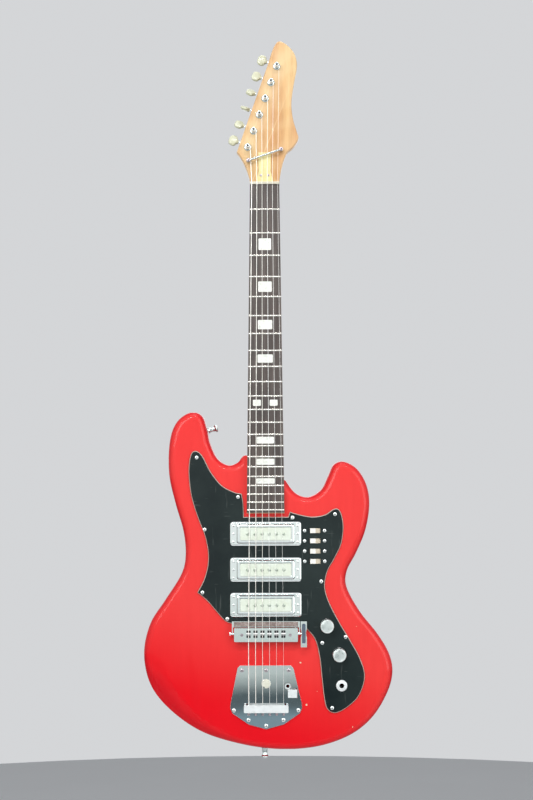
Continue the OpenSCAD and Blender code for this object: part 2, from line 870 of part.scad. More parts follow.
module pickup_covers() {
    color("silver")
        for (z = pickup_z)
            difference() {
                round_block(0, z, cover_w, cover_h, cover_top_y, cover_back_y, 2.5);
                round_block(0, z, cover_w - 2, cover_h - 2, cover_top_y + 1, cover_back_y + 1,
                            1.5);
                block(0, z, insert_w, insert_h, cover_top_y - 1, cover_top_y + 2);
            }
}

module pickup_inserts() {
    color([0.93, 0.92, 0.8])
        for (z = pickup_z)
            difference() {
                union() {
                    block(0, z, insert_w, insert_h, cover_top_y - 0.2, cover_top_y + 1);
                    block(0, z, insert_w + 2 * insert_lip, insert_h + 2 * insert_lip,
                          cover_top_y + 1, cover_top_y + 2.2);
                }
                pole_holes(z);
            }
}

module pole_screws() {
    color("dimgray")
        for (z = pickup_z, i = [0:5])
            screw((i - 2.5) * pole_pitch, z, cover_top_y - 0.2, pole_screw);
}

module pole_holes(z) {
    for (i = [0:5])
        peg((i - 2.5) * pole_pitch, z, cover_top_y - 2, cover_back_y + 2, pole_r + fit_gap);
}

module pickup_coils() {
    color([0.45, 0.25, 0.12])
        for (z = pickup_z)
            difference() {
                round_block(0, z, insert_w - 2, 15, cover_top_y + 2.4, 20, 7);
                pole_holes(z);
            }
}

// ---- rocker switches
module rocker(z) {
    tilt = rocker_travel / 2;
    color([0.96, 0.95, 0.9])
        translate([switch_x, pivot_y, z])
            intersection() {
                cylinder(r = rocker_r, h = rocker_h, center = true);
                rotate([0, 0, tilt])
                    translate([0, 0, -rocker_h])
                        linear_extrude(2 * rocker_h)
                            rocker_profile(tilt);
            }
    color("silver")
        translate([switch_x, pivot_y, z - 5.5])
            cylinder(r = pin_r, h = 11);
}

// Roof with two equal slopes, in the plane across the pivot
module rocker_profile(tilt) {
    ridge = rocker_rise / cos(tilt);
    drop = ridge - 9 * tan(tilt);
    polygon([[0, -ridge], [9, -drop], [9, 3], [-9, 3], [-9, -drop]]);
}

module switch_housings() {
    color("dimgray")
        for (z = switch_z)
            difference() {
                block(switch_x, z, housing_w, housing_h, face_y, housing_back_y);
                block(switch_x, z, 2 * rocker_r + 1, rocker_h + 0.6, face_y - 1,
                      housing_back_y - 2);
                translate([switch_x, pivot_y, z - 8])
                    cylinder(r = pin_r + fit_gap, h = 16);
                for (x = switch_screw_x)
                    peg(x, z, face_y - 1, housing_back_y + 1, switch_screw[2] + fit_gap);
            }
}

module switch_screws() {
    color("silver")
        for (z = switch_z, x = switch_screw_x)
            screw(x, z, guard_y, switch_screw);
}

// ---- knobs, pots and jack
module knob(spot) {
    color([0.88, 0.9, 0.9])
        difference() {
            peg(spot[0], spot[1], knob_top_y, knob_foot_y, knob_r);
            peg(spot[0], spot[1], knob_foot_y - 8.1, knob_foot_y + 1, control_shaft_r + fit_gap);
            for (a = [0:15:345])
                peg(spot[0] + (knob_r + 0.35) * cos(a), spot[1] + (knob_r + 0.35) * sin(a),
                    knob_top_y - 1, knob_foot_y + 1, flute_r);
        }
    color("silver")
        peg(spot[0], spot[1], knob_foot_y - 8, shaft_end_y, control_shaft_r);
}

module potentiometers() {
    color("silver")
        for (spot = knob_spots)
            difference() {
                union() {
                    peg(spot[0], spot[1], face_y, pot_back_y, pot_r);
                    peg(spot[0], spot[1], guard_y - 1.6, face_y, pot_neck_r);
                }
                peg(spot[0], spot[1], 0, shaft_end_y + 1, control_shaft_r + fit_gap);
            }
}

module output_jack() {
    color("silver")
        difference() {
            union() {
                peg(jack_spot[0], jack_spot[1], guard_y - jack_ring_t, guard_y, jack_ring_r);
                peg(jack_spot[0], jack_spot[1], guard_y, face_y, pot_neck_r);
                peg(jack_spot[0], jack_spot[1], face_y, contact_y[0], jack_body_r);
                block(jack_spot[0], jack_spot[1], 5, 12, contact_y[0], contact_y[1]);
            }
            peg(jack_spot[0], jack_spot[1], 0, contact_y[1] + 1, jack_bore_r);
        }
}

// ---- leads from the pickups to the switches, pots and jack, and the tone capacitor
module wiring() {
    color("goldenrod")
        for (run = wire_runs)
            tube(run, wire_r);
    color("chocolate")
        peg(capacitor[0], capacitor[1], 15, 23, 3);
}

// ---- bridge on two height posts, with the mute hinged through its ears
module bridge_base() {
    color("silver")
        difference() {
            union() {
                round_block(0, bridge_z, bridge_w, bridge_h, bridge_top_y, bridge_under_y, 1.5);
                for (side = [-1, 1])
                    block(side * (bridge_w - bridge_wall) / 2, bridge_z, bridge_wall,
                          bridge_h - 3, bridge_top_y, bridge_ear_y);
                for (side = [-1, 1])
                    block(0, bridge_z + side * (bridge_h - bridge_wall) / 2, bridge_w - 3,
                          bridge_wall, bridge_top_y, bridge_top_y + 3);
            }
            for (i = [0:5], side = [-1, 1])
                block(string_x(i, saddle_span), saddle_z + side * slot_dz, slot_size[0],
                      slot_size[1], bridge_top_y - 1, bridge_under_y + 1);
            for (x = [-post_x, post_x])
                peg(x, bridge_z, bridge_top_y - 1, bridge_under_y + 1, 2 + fit_gap);
            rod_x(mute_axis[0], mute_axis[1], -50, 50, mute_axle_r + fit_gap);
        }
}

module bridge_posts() {
    color("silver")
        for (x = [-post_x, post_x]) {
            peg(x, bridge_z, bridge_top_y - 0.5, bridge_under_y, 2);
            peg(x, bridge_z, bridge_under_y, neck_top_y, 3.4);
            post_neck(x);
            peg(x, bridge_z, neck_foot_y, face_y + post_depth, post_r);
        }
}

// The post's neck, bowed clear of the mute's axle
module post_neck(x) {
    block(x, bridge_z + 4.4, 4, 2, bridge_under_y + 0.2, neck_foot_y + 1);
    block(x, bridge_z + 2.6, 4, 5.6, bridge_under_y + 0.2, neck_top_y);
    block(x, bridge_z + 2.6, 4, 5.6, neck_foot_y, neck_foot_y + 1);
}

module saddles() {
    color("gainsboro")
        for (i = [0:5]) {
            x = string_x(i, saddle_span);
            top = saddle_top_y + crown_y(x);
            translate([x - 3, 0, saddle_z])
                rotate([90, 0, 90])
                    linear_extrude(6)
                        polygon([[bridge_top_y, -1.7], [top + 1.1, -1.7], [top, -0.4],
                                 [top, 0.4], [top + 1.1, 1.7], [bridge_top_y, 1.7]]);
        }
}

module mute_lever() {
    color("silver") {
        rod_x(mute_axis[0], mute_axis[1], mute_ends[0], mute_ends[1], mute_axle_r);
        rod_x(mute_axis[0], mute_axis[1], mute_ends[0] - 2, mute_ends[0], 2.6);
        for (side = [-1, 1])
            block(side * (mute_pad_w + 3.6) / 2, mute_pad_z - 6.4, 1.4, 16, mute_strip_y, 3.5);
        block(0, mute_pad_z, mute_pad_w + 5, 8, mute_strip_y, mute_strip_y + 1.1);
        difference() {
            block(lever_x, lever_z, lever_w, lever_l, lever_y[0], lever_y[1]);
            for (side = [-1, 1])
                peg(lever_x + side * (lever_waist_r + 3), lever_z + 1.5, lever_y[0] - 1,
                    lever_y[1] + 1, lever_waist_r);
        }
        block(lever_x, mute_axis[1], 3.4, 5, lever_y[1] - 0.6, 3.8);
    }
}

module mute_pad() {
    color([0.5, 0.42, 0.4])
        block(0, mute_pad_z, mute_pad_w, 7.2, -1, mute_strip_y);
}

// ---- vibrato tailpiece
module vibrato_plate() {
    color("silver")
        difference() {
            union() {
                slab(vibrato_outline, plate_y, face_y);
                peg(0, dome_z, plate_y - 1, plate_y, 6.3);
                peg(0, dome_z, plate_y - 4, plate_y - 1, 4.6);
            }
            block(0, bar_z, string_bar_w - 6, 13, plate_y - 1, face_y + 1);
            block(tab_stem_x - 0.5, tab_spot[1], 8, 13, plate_y - 1, face_y + 1);
            peg(arm_spot[0], arm_spot[1], plate_y - 1, face_y + 1, arm_boss_r + 0.8);
            for (s = tail_screw_spots)
                peg(s[0], s[1], plate_y - 1, face_y + 1, tail_screw[2] + 0.3);
        }
    color("silver")
        difference() {
            for (side = [-1, 1])
                block(side * tail_ear_x, tail_pivot[1] + 0.5, 3, 8, face_y, 19);
            tail_axle_hole();
        }
}

module tail_axle_hole() {
    rod_x(tail_pivot[0], tail_pivot[1], -40, 40, tail_axle_r + fit_gap);
}

module vibrato_screws() {
    color("silver")
        for (s = tail_screw_spots)
            screw(s[0], s[1], plate_y, tail_screw);
}

module vibrato_axle() {
    color("dimgray")
        rod_x(tail_pivot[0], tail_pivot[1], -tail_ear_x - 1.4, tail_ear_x + 1.4, tail_axle_r);
}

// The moving tail: a bar that holds the ball ends, on a rocker plate under the cover
module string_bar() {
    color([0.92, 0.93, 0.92])
        difference() {
            union() {
                round_block(0, bar_z, string_bar_w, bar_h, bar_y - 2.6, bar_y - 2.6 + bar_t, 1.2);
                block(0, bar_z + 1, string_bar_w - 10, web_t, bar_y + 3, rocker_plate_y[1]);
                block(0, bar_z + 11, string_bar_w - 10, 34, rocker_plate_y[0],
                      rocker_plate_y[1]);
                for (side = [-1, 1])
                    block(side * tail_knuckle_x, tail_pivot[1] + 2, 6, 12, tail_pivot[0] - 3.5,
                          tail_pivot[0] + 3.5);
                block(tab_spot[0], tab_spot[1], tab_size[0], tab_size[1], tab_y[0], tab_y[1]);
                block(tab_stem_x, tab_spot[1], 3.4, 9, tab_y[1] - 0.2, rocker_plate_y[1]);
                block(32, -700, 17.5, 20, rocker_plate_y[0], rocker_plate_y[1]);
                peg(arm_spot[0], arm_spot[1], plate_y + 0.4, rocker_plate_y[0] + 1, arm_boss_r);
            }
            for (i = [0:5])
                translate([string_x(i, saddle_span), bar_y, bar_z - 10])
                    cylinder(r = 0.9, h = 20);
            tail_axle_hole();
            peg(arm_spot[0], arm_spot[1], 0, 20, arm_socket_r);
        }
}

module vibrato_springs() {
    color("silver")
        for (x = spring_spots)
            difference() {
                peg(x, spring_z, rocker_plate_y[1] + clear_gap, spring_end_y, 5);
                peg(x, spring_z, rocker_plate_y[1] - 1, spring_end_y + 1, 3.8);
            }
}

// ---- neck plate, its screws, and the strap buttons
module neck_plate() {
    color("silver")
        difference() {
            round_block(0, -434.5, 48, 43, back_y, back_y + plate_t, 5);
            for (s = plate_screw_spots)
                peg(s[0], s[1], back_y - 1, back_y + 3, plate_screw[2] + fit_gap);
        }
}

module neck_screws() {
    color("silver")
        for (s = plate_screw_spots)
            translate([s[0], back_y + plate_t, s[1]])
                rotate([180, 0, 0])
                    screw(0, 0, 0, plate_screw);
}

// A strap button standing up from z = 0
module strap_button() {
    difference() {
        rotate_extrude()
            polygon([[0, 0], [5, 0], [3.8, 2], [3.4, 6], [4.2, 9.5], [5.9, 11.2],
                     [5.4, strap_button_h], [0, strap_button_h]]);
        translate([0, 0, -1])
            cylinder(r = strap_screw_r + fit_gap, h = strap_button_h + 2);
    }
}

module at_strap_spots() {
    translate([strap_horn[0], body_mid_y, strap_horn[1]])
        rotate([0, 90 - strap_tilt, 0])
            translate([0, 0, strap_bed])
                children();
    translate([strap_tail[0], body_mid_y, strap_tail[1]])
        rotate([180, 0, 0])
            children();
}

module strap_buttons() {
    color("silver")
        at_strap_spots()
            strap_button();
}

module strap_screws() {
    color("silver")
        at_strap_spots() {
            translate([0, 0, -20])
                cylinder(r = strap_screw_r, h = strap_button_h + 20);
            translate([0, 0, strap_button_h])
                cylinder(r1 = 3.4, r2 = 2, h = 1.4);
        }
}

body();
neck();
fingerboard();
frets();
inlays();
nut();
truss_rod();
truss_rod_cover();
headstock_screws();
string_retainer();
tuner_strip();
tuner_screws();
post_bushings();
for (i = [0:5]) {
    tuner_key(i);
    tuner_post(i);
}
strings();
pickguard();
pickguard_screws();
pickup_rings();
pickup_covers();
pickup_inserts();
pickup_coils();
pole_screws();
ring_screws();
for (i = [0:3])
    rocker(switch_z[i]);
switch_housings();
switch_screws();
knob(knob_spots[0]);  // volume_knob
knob(knob_spots[1]);  // tone_knob
potentiometers();
output_jack();
wiring();
bridge_base();
bridge_posts();
saddles();
mute_lever();
mute_pad();
vibrato_plate();
vibrato_screws();
string_bar();
vibrato_axle();
vibrato_springs();
neck_plate();
neck_screws();
strap_buttons();
strap_screws();
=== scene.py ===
"""Electric guitar, seen hanging upright from the front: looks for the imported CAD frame."""
import json
import math

import bmesh
import bpy
from mathutils import Matrix, Vector
from mathutils.geometry import delaunay_2d_cdt

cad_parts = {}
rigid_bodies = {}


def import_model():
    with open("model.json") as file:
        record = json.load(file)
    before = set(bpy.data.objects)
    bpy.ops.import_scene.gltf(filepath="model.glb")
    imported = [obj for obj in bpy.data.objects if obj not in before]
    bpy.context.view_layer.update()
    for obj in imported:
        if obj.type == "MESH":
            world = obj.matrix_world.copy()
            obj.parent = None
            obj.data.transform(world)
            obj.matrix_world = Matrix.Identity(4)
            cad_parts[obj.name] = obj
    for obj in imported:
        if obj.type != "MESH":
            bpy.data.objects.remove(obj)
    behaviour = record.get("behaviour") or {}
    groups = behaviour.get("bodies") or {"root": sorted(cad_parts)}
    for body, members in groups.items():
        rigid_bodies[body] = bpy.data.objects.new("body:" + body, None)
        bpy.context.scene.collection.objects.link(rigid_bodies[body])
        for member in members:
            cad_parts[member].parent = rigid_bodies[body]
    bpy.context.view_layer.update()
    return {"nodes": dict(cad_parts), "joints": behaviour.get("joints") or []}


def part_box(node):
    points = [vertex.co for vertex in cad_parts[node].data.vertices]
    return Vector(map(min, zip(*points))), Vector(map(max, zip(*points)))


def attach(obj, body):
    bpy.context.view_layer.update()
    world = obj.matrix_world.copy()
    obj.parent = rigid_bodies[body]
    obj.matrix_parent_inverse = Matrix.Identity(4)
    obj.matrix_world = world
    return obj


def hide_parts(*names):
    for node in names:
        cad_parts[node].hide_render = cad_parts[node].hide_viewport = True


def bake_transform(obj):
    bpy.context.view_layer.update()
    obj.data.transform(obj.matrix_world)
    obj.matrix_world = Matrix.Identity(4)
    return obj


for old in list(bpy.data.objects):
    bpy.data.objects.remove(old)
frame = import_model()
NODES = frame["nodes"]
JOINTS = {j["name"]: j for j in frame["joints"]}
MM = 0.001
NIL = 1e-9  # a shorter length counts as nothing
WELD = 1e-6  # CAD points this near each other, in metres, are one


# ---------------------------------------------------------------- measuring the frame, in mm
class Box:
    def __init__(self, lo, hi):
        self.lo, self.hi = Vector(lo), Vector(hi)
        self.mid = (self.lo + self.hi) / 2
        self.size = self.hi - self.lo


def box(node):
    lo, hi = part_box(node)
    return Box(lo / MM, hi / MM)


def solids(node, key=None):
    """The box of every separate solid in a CAD node, ordered by key or along X then down Z."""
    mesh = NODES[node].data
    bm = bmesh.new()
    bm.from_mesh(mesh)
    bmesh.ops.remove_doubles(bm, verts=bm.verts, dist=WELD)
    seen, found = set(), []
    for first in bm.verts:
        if first.index in seen:
            continue
        stack, points = [first], []
        seen.add(first.index)
        while stack:
            v = stack.pop()
            points.append(v.co / MM)
            for e in v.link_edges:
                w = e.other_vert(v)
                if w.index not in seen:
                    seen.add(w.index)
                    stack.append(w)
        found.append(Box([min(p[k] for p in points) for k in range(3)],
                         [max(p[k] for p in points) for k in range(3)]))
    bm.free()
    return sorted(found, key=key or (lambda b: (round(b.mid.x, 1), -b.mid.z)))


def joint(name):
    j = JOINTS[name]
    return Vector(j["pos_m"]) / MM, Vector(j["axis"]).normalized()


# ---------------------------------------------------------------- shapes, in mm
class Shape:
    def __init__(self):
        self.verts, self.faces, self.mats = [], [], []

    def add(self, verts, faces, mat=0, at=None):
        base = len(self.verts)
        self.verts += [at @ Vector(v) if at else Vector(v) for v in verts]
        self.faces += [tuple(base + i for i in f) for f in faces]
        self.mats += list(mat) if isinstance(mat, (list, tuple)) else [mat] * len(faces)
        return self

    def join(self, other, at=None, mat=None):
        return self.add(other.verts, other.faces, other.mats if mat is None else mat, at)

    def painted(self, rule):
        """The same shape, with the material number of each face from rule(centre, normal)."""
        for k, f in enumerate(self.faces):
            points = [self.verts[i] for i in f]
            centre = sum(points, Vector()) / len(points)
            normal = Vector()
            for i in range(len(points)):
                normal += (points[i] - centre).cross(points[(i + 1) % len(points)] - centre)
            self.mats[k] = rule(centre, normal.normalized() if normal.length else normal, self.mats[k])
        return self


def loft(rings, mats=0, caps=True, loop=False, first_cap=None):
    n, count = len(rings[0]), len(rings)
    shape = Shape()
    faces, numbers = [], []
    for k in range(count if loop else count - 1):
        a, b = k * n, (k + 1) % count * n
        for i in range(n):
            j = (i + 1) % n
            faces.append((a + i, a + j, b + j, b + i))
            numbers.append(mats[k] if isinstance(mats, (list, tuple)) else mats)
    if caps and not loop:
        faces += [tuple(range(n)), tuple(range((count - 1) * n, count * n))]
        numbers += [mats[0], mats[-1]] if isinstance(mats, (list, tuple)) else [mats, mats]
        if first_cap is not None:
            numbers[-2] = first_cap
    return shape.add([p for r in rings for p in r], faces, numbers)


def lathe(profile, steps=48, mats=0, loop=False, wave=None):
    """A profile of (radius, height) turned about local Z; wave(angle, radius, height) may change the radius."""
    rings = []
    for r, z in profile:
        ring = []
        for k in range(steps):
            a = math.tau * k / steps
            s = wave(a, r, z) if wave else r
            ring.append((s * math.cos(a), s * math.sin(a), z))
        rings.append(ring)
    return loft(rings, mats, caps=False, loop=loop)


def arc(cx, cz, r, start, end, steps):
    angles = [math.radians(start + (end - start) * k / steps) for k in range(steps + 1)]
    return [(cx + r * math.cos(a), cz + r * math.sin(a)) for a in angles]


def round_rect(cx, cz, w, h, r, steps=6):
    """Clockwise outline of a rounded rectangle in X and Z."""
    points = []
    for sx, sz, start in ((-1, 1, 180), (1, 1, 90), (1, -1, 0), (-1, -1, -90)):
        points += arc(cx + sx * (w / 2 - r), cz + sz * (h / 2 - r), r, start, start - 90, steps)
    return points


def disc(cx, cz, r, steps=40):
    angles = [math.tau * k / steps for k in range(steps)]
    return [(cx + r * math.sin(a), cz + r * math.cos(a)) for a in angles]


def inward(p, d):
    """A clockwise outline moved in by d."""
    made = []
    for i in range(len(p)):
        here, last, after = Vector(p[i]), Vector(p[i - 1]), Vector(p[(i + 1) % len(p)])
        a, b = here - last, after - here
        a = a.normalized() if a.length > NIL else b.normalized()
        b = b.normalized() if b.length > NIL else a
        m = (a + b) / max(0.3, 1 + a.dot(b))
        made.append((here.x + d * m.y, here.y - d * m.x))
    return made


def rows_of(outline, profile):
    """Rings of an outline in X and Z, one for each (inset, depth) of a profile."""
    return [[(x, y, z) for x, z in (inward(outline, d) if abs(d) > NIL else outline)] for d, y in profile]


def plate(outline, profile, mats=0, first_cap=None):
    """An outline swept through a profile of (inset, depth) from front to back."""
    return loft(rows_of(outline, profile), mats, first_cap=first_cap)


def rim(front, back, r, steps=5, r_back=None):
    """The profile of a plate with round front and back edges."""
    q = r if r_back is None else r_back
    angles = [math.pi / 2 * k / steps for k in range(steps + 1)]
    p = [(r * (1 - math.sin(a)), front + r * (1 - math.cos(a))) for a in angles] if r else [(0, front)]
    p += [(q * (1 - math.cos(a)), back - q * (1 - math.sin(a))) for a in angles] if q else [(0, back)]
    return p


def tube(points, radius, sides=12):
    """A closed round tube along points; radius may be a number or a list."""
    rings, side = [], None
    for k, p in enumerate(points):
        p = Vector(p)
        a = Vector(points[max(0, k - 1)])
        b = Vector(points[min(len(points) - 1, k + 1)])
        t = (b - a).normalized()
        if side is None:
            side = t.orthogonal().normalized()
        side = (side - t * side.dot(t)).normalized()
        other = t.cross(side)
        r = radius[k] if isinstance(radius, list) else radius
        angles = [math.tau * i / sides for i in range(sides)]
        rings.append([p + r * (math.cos(a) * side + math.sin(a) * other) for a in angles])
    return loft(rings)


def smooth_run(p, n):
    """Catmull-Rom points along p without the last one, its ends clamped."""
    if len(p) == 2:
        return [p[0]]
    made = []
    for i in range(len(p) - 1):
        a, b, c, d = p[max(0, i - 1)], p[i], p[i + 1], p[min(len(p) - 1, i + 2)]
        for k in range(n):
            t = k / n
            made.append(tuple(0.5 * (2 * b[j] + (c[j] - a[j]) * t
                                     + (2 * a[j] - 5 * b[j] + 4 * c[j] - d[j]) * t * t
                                     + (3 * b[j] - a[j] - 3 * c[j] + d[j]) * t ** 3) for j in (0, 1)))
    return made


def squared(value, power):
    """A sine or cosine with its power changed and its sign kept, for rounded squares."""
    return math.copysign(abs(value) ** power, value)


def smooth_step(a, b, x):
    t = max(0.0, min(1.0, (x - a) / (b - a)))
    return t * t * (3 - 2 * t)


TO_FRONT = Matrix(((1, 0, 0, 0), (0, 0, -1, 0), (0, 1, 0, 0), (0, 0, 0, 1)))
TO_BACK = Matrix(((-1, 0, 0, 0), (0, 0, 1, 0), (0, 1, 0, 0), (0, 0, 0, 1)))


def front(x, y, z, turn=0):
    """Local Z points to the front, -Y."""
    return Matrix.Translation((x, y, z)) @ TO_FRONT @ Matrix.Rotation(turn, 4, "Z")


def back(x, y, z, turn=0):
    """Local Z points to the back, +Y."""
    return Matrix.Translation((x, y, z)) @ TO_BACK @ Matrix.Rotation(turn, 4, "Z")


def clean(bm):
    bmesh.ops.remove_doubles(bm, verts=bm.verts, dist=2e-7)
    bmesh.ops.dissolve_degenerate(bm, edges=bm.edges, dist=1e-7)
    bmesh.ops.recalc_face_normals(bm, faces=bm.faces)


def to_mesh(shape, name, materials=()):
    mesh = bpy.data.meshes.new(name)
    mesh.from_pydata([Vector(v) * MM for v in shape.verts], [], shape.faces)
    for m in materials:
        mesh.materials.append(m)
    mesh.polygons.foreach_set("material_index", shape.mats)
    bm = bmesh.new()
    bm.from_mesh(mesh)
    clean(bm)
    bm.to_mesh(mesh)
    bm.free()
    return mesh


def to_shape(mesh):
    shape = Shape()
    shape.add([v.co / MM for v in mesh.vertices], [tuple(p.vertices) for p in mesh.polygons],
              [p.material_index for p in mesh.polygons])
    return shape


def cut(shape, *tools, how="DIFFERENCE"):
    """The shape after Boolean cuts by closed tools."""
    blanks = [bpy.data.materials.get(f"blank_{k}") or bpy.data.materials.new(f"blank_{k}") for k in range(4)]
    things = []
    for k, s in enumerate((shape,) + tools):
        o = bpy.data.objects.new(f"cut_{k}", to_mesh(s, f"cut_{k}", blanks))
        bpy.context.scene.collection.objects.link(o)
        things.append(o)
    for tool in things[1:]:
        m = things[0].modifiers.new(tool.name, "BOOLEAN")
        m.object, m.operation, m.solver = tool, how, "EXACT"
    done = things[0].evaluated_get(bpy.context.evaluated_depsgraph_get())
    mesh = done.to_mesh()
    result = to_shape(mesh)
    done.to_mesh_clear()
    for o in things:
        old = o.data
        bpy.data.objects.remove(o)
        bpy.data.meshes.remove(old)
    return result


def soften(shape, width, segments=2, angle=40):
    """Rounds the edges that are sharper than angle."""
    mesh = to_mesh(shape, "soften")
    mesh.materials.clear()
    bm = bmesh.new()
    bm.from_mesh(mesh)
    for f, number in zip(bm.faces, [p.material_index for p in mesh.polygons]):
        f.material_index = number
    edges = [e for e in bm.edges if len(e.link_faces) == 2 and e.calc_face_angle(0) > math.radians(angle)]
    bmesh.ops.bevel(bm, geom=edges, offset=width * MM, offset_type="OFFSET", segments=segments, profile=0.5,
                    affect="EDGES", clamp_overlap=True, material=-1)
    clean(bm)
    bm.to_mesh(mesh)
    bm.free()
    result = to_shape(mesh)
    bpy.data.meshes.remove(mesh)
    return result


def cad(node):
    """A CAD node's own surface with its flat faces whole."""
    bm = bmesh.new()
    bm.from_mesh(NODES[node].data)
    bmesh.ops.remove_doubles(bm, verts=bm.verts, dist=WELD)
    bmesh.ops.dissolve_limit(bm, angle_limit=math.radians(1), verts=bm.verts, edges=bm.edges,
                             delimit={"NORMAL"})
    mesh = bpy.data.meshes.new("cad")
    bm.to_mesh(mesh)
    bm.free()
    result = to_shape(mesh)
    result.mats = [0] * len(result.faces)
    bpy.data.meshes.remove(mesh)
    return result


def even_normals(o):
    """Flat faces stay flat beside their rounded edges."""
    m = o.modifiers.new("even_normals", "WEIGHTED_NORMAL")
    m.mode, m.weight, m.keep_sharp = "FACE_AREA", 100, True


def piece(name, shape, materials, body="guitar", nodes=(), crease=38, ride=True):
    materials = materials if isinstance(materials, (list, tuple)) else [materials]
    mesh = to_mesh(shape, name, [m.material for m in materials])
    mesh.polygons.foreach_set("use_smooth", [True] * len(mesh.polygons))
    mesh.set_sharp_from_angle(angle=math.radians(crease))
    o = bpy.data.objects.new(name, mesh)
    bpy.context.scene.collection.objects.link(o)
    if ride:
        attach(o, body)
        even_normals(o)
    if nodes:
        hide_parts(*([nodes] if isinstance(nodes, str) else nodes))
    return o


# ---------------------------------------------------------------- materials
class Mat:
    """A principled shader with helpers for its procedural nodes. Lengths are in metres in the frame."""

    def __init__(self, name, color=(0.8, 0.8, 0.8), rough=0.4, metal=0.0, coat=0.0, coat_rough=0.05, ior=1.5):
        self.material = bpy.data.materials.new(name)
        self.material.use_nodes = True
        self.tree = self.material.node_tree
        self.shader = self.tree.nodes["Principled BSDF"]
        self.place = self.tree.nodes.new("ShaderNodeTexCoord").outputs["Object"]
        for socket, value in (("Base Color", (*color, 1)), ("Roughness", rough), ("Metallic", metal),
                              ("Coat Weight", coat), ("Coat Roughness", coat_rough), ("IOR", ior)):
            self.shader.inputs[socket].default_value = value
        self.height = None

    def node(self, kind, **inputs):
        n = self.tree.nodes.new(kind)
        for key, value in inputs.items():
            self.feed(n.inputs[key], value)
        return n

    def feed(self, socket, value):
        if isinstance(value, bpy.types.NodeSocket):
            self.tree.links.new(value, socket)
        elif isinstance(value, tuple) and socket.type == "RGBA":
            socket.default_value = (*value, 1) if len(value) == 3 else value
        else:
            socket.default_value = value

    def stretch(self, scale, move=(0, 0, 0), turn=(0, 0, 0)):
        n = self.node("ShaderNodeMapping", Vector=self.place)
        n.inputs["Scale"].default_value = scale
        n.inputs["Location"].default_value = move
        n.inputs["Rotation"].default_value = turn
        return n.outputs[0]

    def noise(self, scale, detail=3.0, rough=0.5, at=None, distort=0.0):
        n = self.node("ShaderNodeTexNoise", Scale=scale, Detail=detail, Roughness=rough, Distortion=distort)
        self.feed(n.inputs["Vector"], at or self.place)
        return n.outputs["Fac"]

    def cells(self, scale, at=None, feature="F1"):
        n = self.node("ShaderNodeTexVoronoi", Scale=scale)
        n.feature = feature
        self.feed(n.inputs["Vector"], at or self.place)
        return n.outputs["Distance"]

    def wave(self, scale, axis="Z", distort=0.0, detail=0.0, at=None, detail_scale=1.0):
        n = self.node("ShaderNodeTexWave", Scale=scale, Distortion=distort, Detail=detail)
        n.inputs["Detail Scale"].default_value = detail_scale
        n.bands_direction = axis
        self.feed(n.inputs["Vector"], at or self.place)
        return n.outputs["Fac"]

    def fit(self, value, lo, hi, out_lo=0.0, out_hi=1.0, smooth=False):
        n = self.node("ShaderNodeMapRange", Value=value)
        n.interpolation_type = "SMOOTHSTEP" if smooth else "LINEAR"
        for key, v in (("From Min", lo), ("From Max", hi), ("To Min", out_lo), ("To Max", out_hi)):
            n.inputs[key].default_value = v
        return n.outputs[0]

    def math(self, how, a, b=0.0):
        n = self.tree.nodes.new("ShaderNodeMath")
        n.operation = how
        self.feed(n.inputs[0], a)
        self.feed(n.inputs[1], b)
        return n.outputs[0]

    def axis(self, k, at=None):
        n = self.node("ShaderNodeSeparateXYZ", Vector=at or self.place)
        return n.outputs[k]

    def mix(self, fac, a, b, how="MIX"):
        n = self.tree.nodes.new("ShaderNodeMix")
        n.data_type, n.blend_type = "RGBA", how
        self.feed(n.inputs[0], fac)
        self.feed(n.inputs[6], a)
        self.feed(n.inputs[7], b)
        return n.outputs[2]

    def ramp(self, fac, *stops):
        n = self.node("ShaderNodeValToRGB", Fac=fac)
        e = n.color_ramp.elements
        while len(e) < len(stops):
            e.new(0.5)
        for item, (at, color) in zip(e, stops):
            item.position, item.color = at, (*color, 1)
        return n.outputs[0]

    def color(self, value):
        self.feed(self.shader.inputs["Base Color"], value)
        return self

    def rough(self, value):
        self.feed(self.shader.inputs["Roughness"], value)
        return self

    def bump(self, value, depth, strength=1.0):
        n = self.node("ShaderNodeBump", Height=value, Distance=depth, Strength=strength)
        if self.height is not None:
            self.feed(n.inputs["Normal"], self.height)
        self.height = n.outputs[0]
        self.feed(self.shader.inputs["Normal"], self.height)
        return self


def pointiness(m, lo, hi):
    return m.fit(m.tree.nodes.new("ShaderNodeNewGeometry").outputs["Pointiness"], lo, hi)


def metal(name, color, rough=0.12, pits=0.25, tint=0.9, haze=90, brushed=None, wavy=0.00008):
    """Plated metal with a little haze, fine pitting and hairline scratches."""
    m = Mat(name, color, rough, 1.0)
    cloud = m.noise(haze, 3, 0.5)
    spots = m.fit(m.cells(900), 0.02, 0.2)
    dark = tuple(c * tint for c in color)
    dirty = m.fit(m.noise(260, 4, 0.7), 0.60, 0.76)
    m.color(m.mix(m.math("MULTIPLY", dirty, pits), m.mix(m.fit(cloud, 0.3, 0.7), dark, color),
                  tuple(c * 0.45 for c in color)))
    m.rough(m.math("ADD", m.fit(cloud, 0.25, 0.75, rough * 0.7, rough * 1.4),
                   m.math("MULTIPLY", dirty, pits * 0.4)))
    m.bump(m.noise(30, 2), wavy, 0.25)
    if brushed:
        m.bump(m.noise(900, 3, 0.6, m.stretch(brushed)), 0.00002, 0.5)
    m.bump(m.math("MULTIPLY", spots, pits), 0.00002, 0.2)
    return m


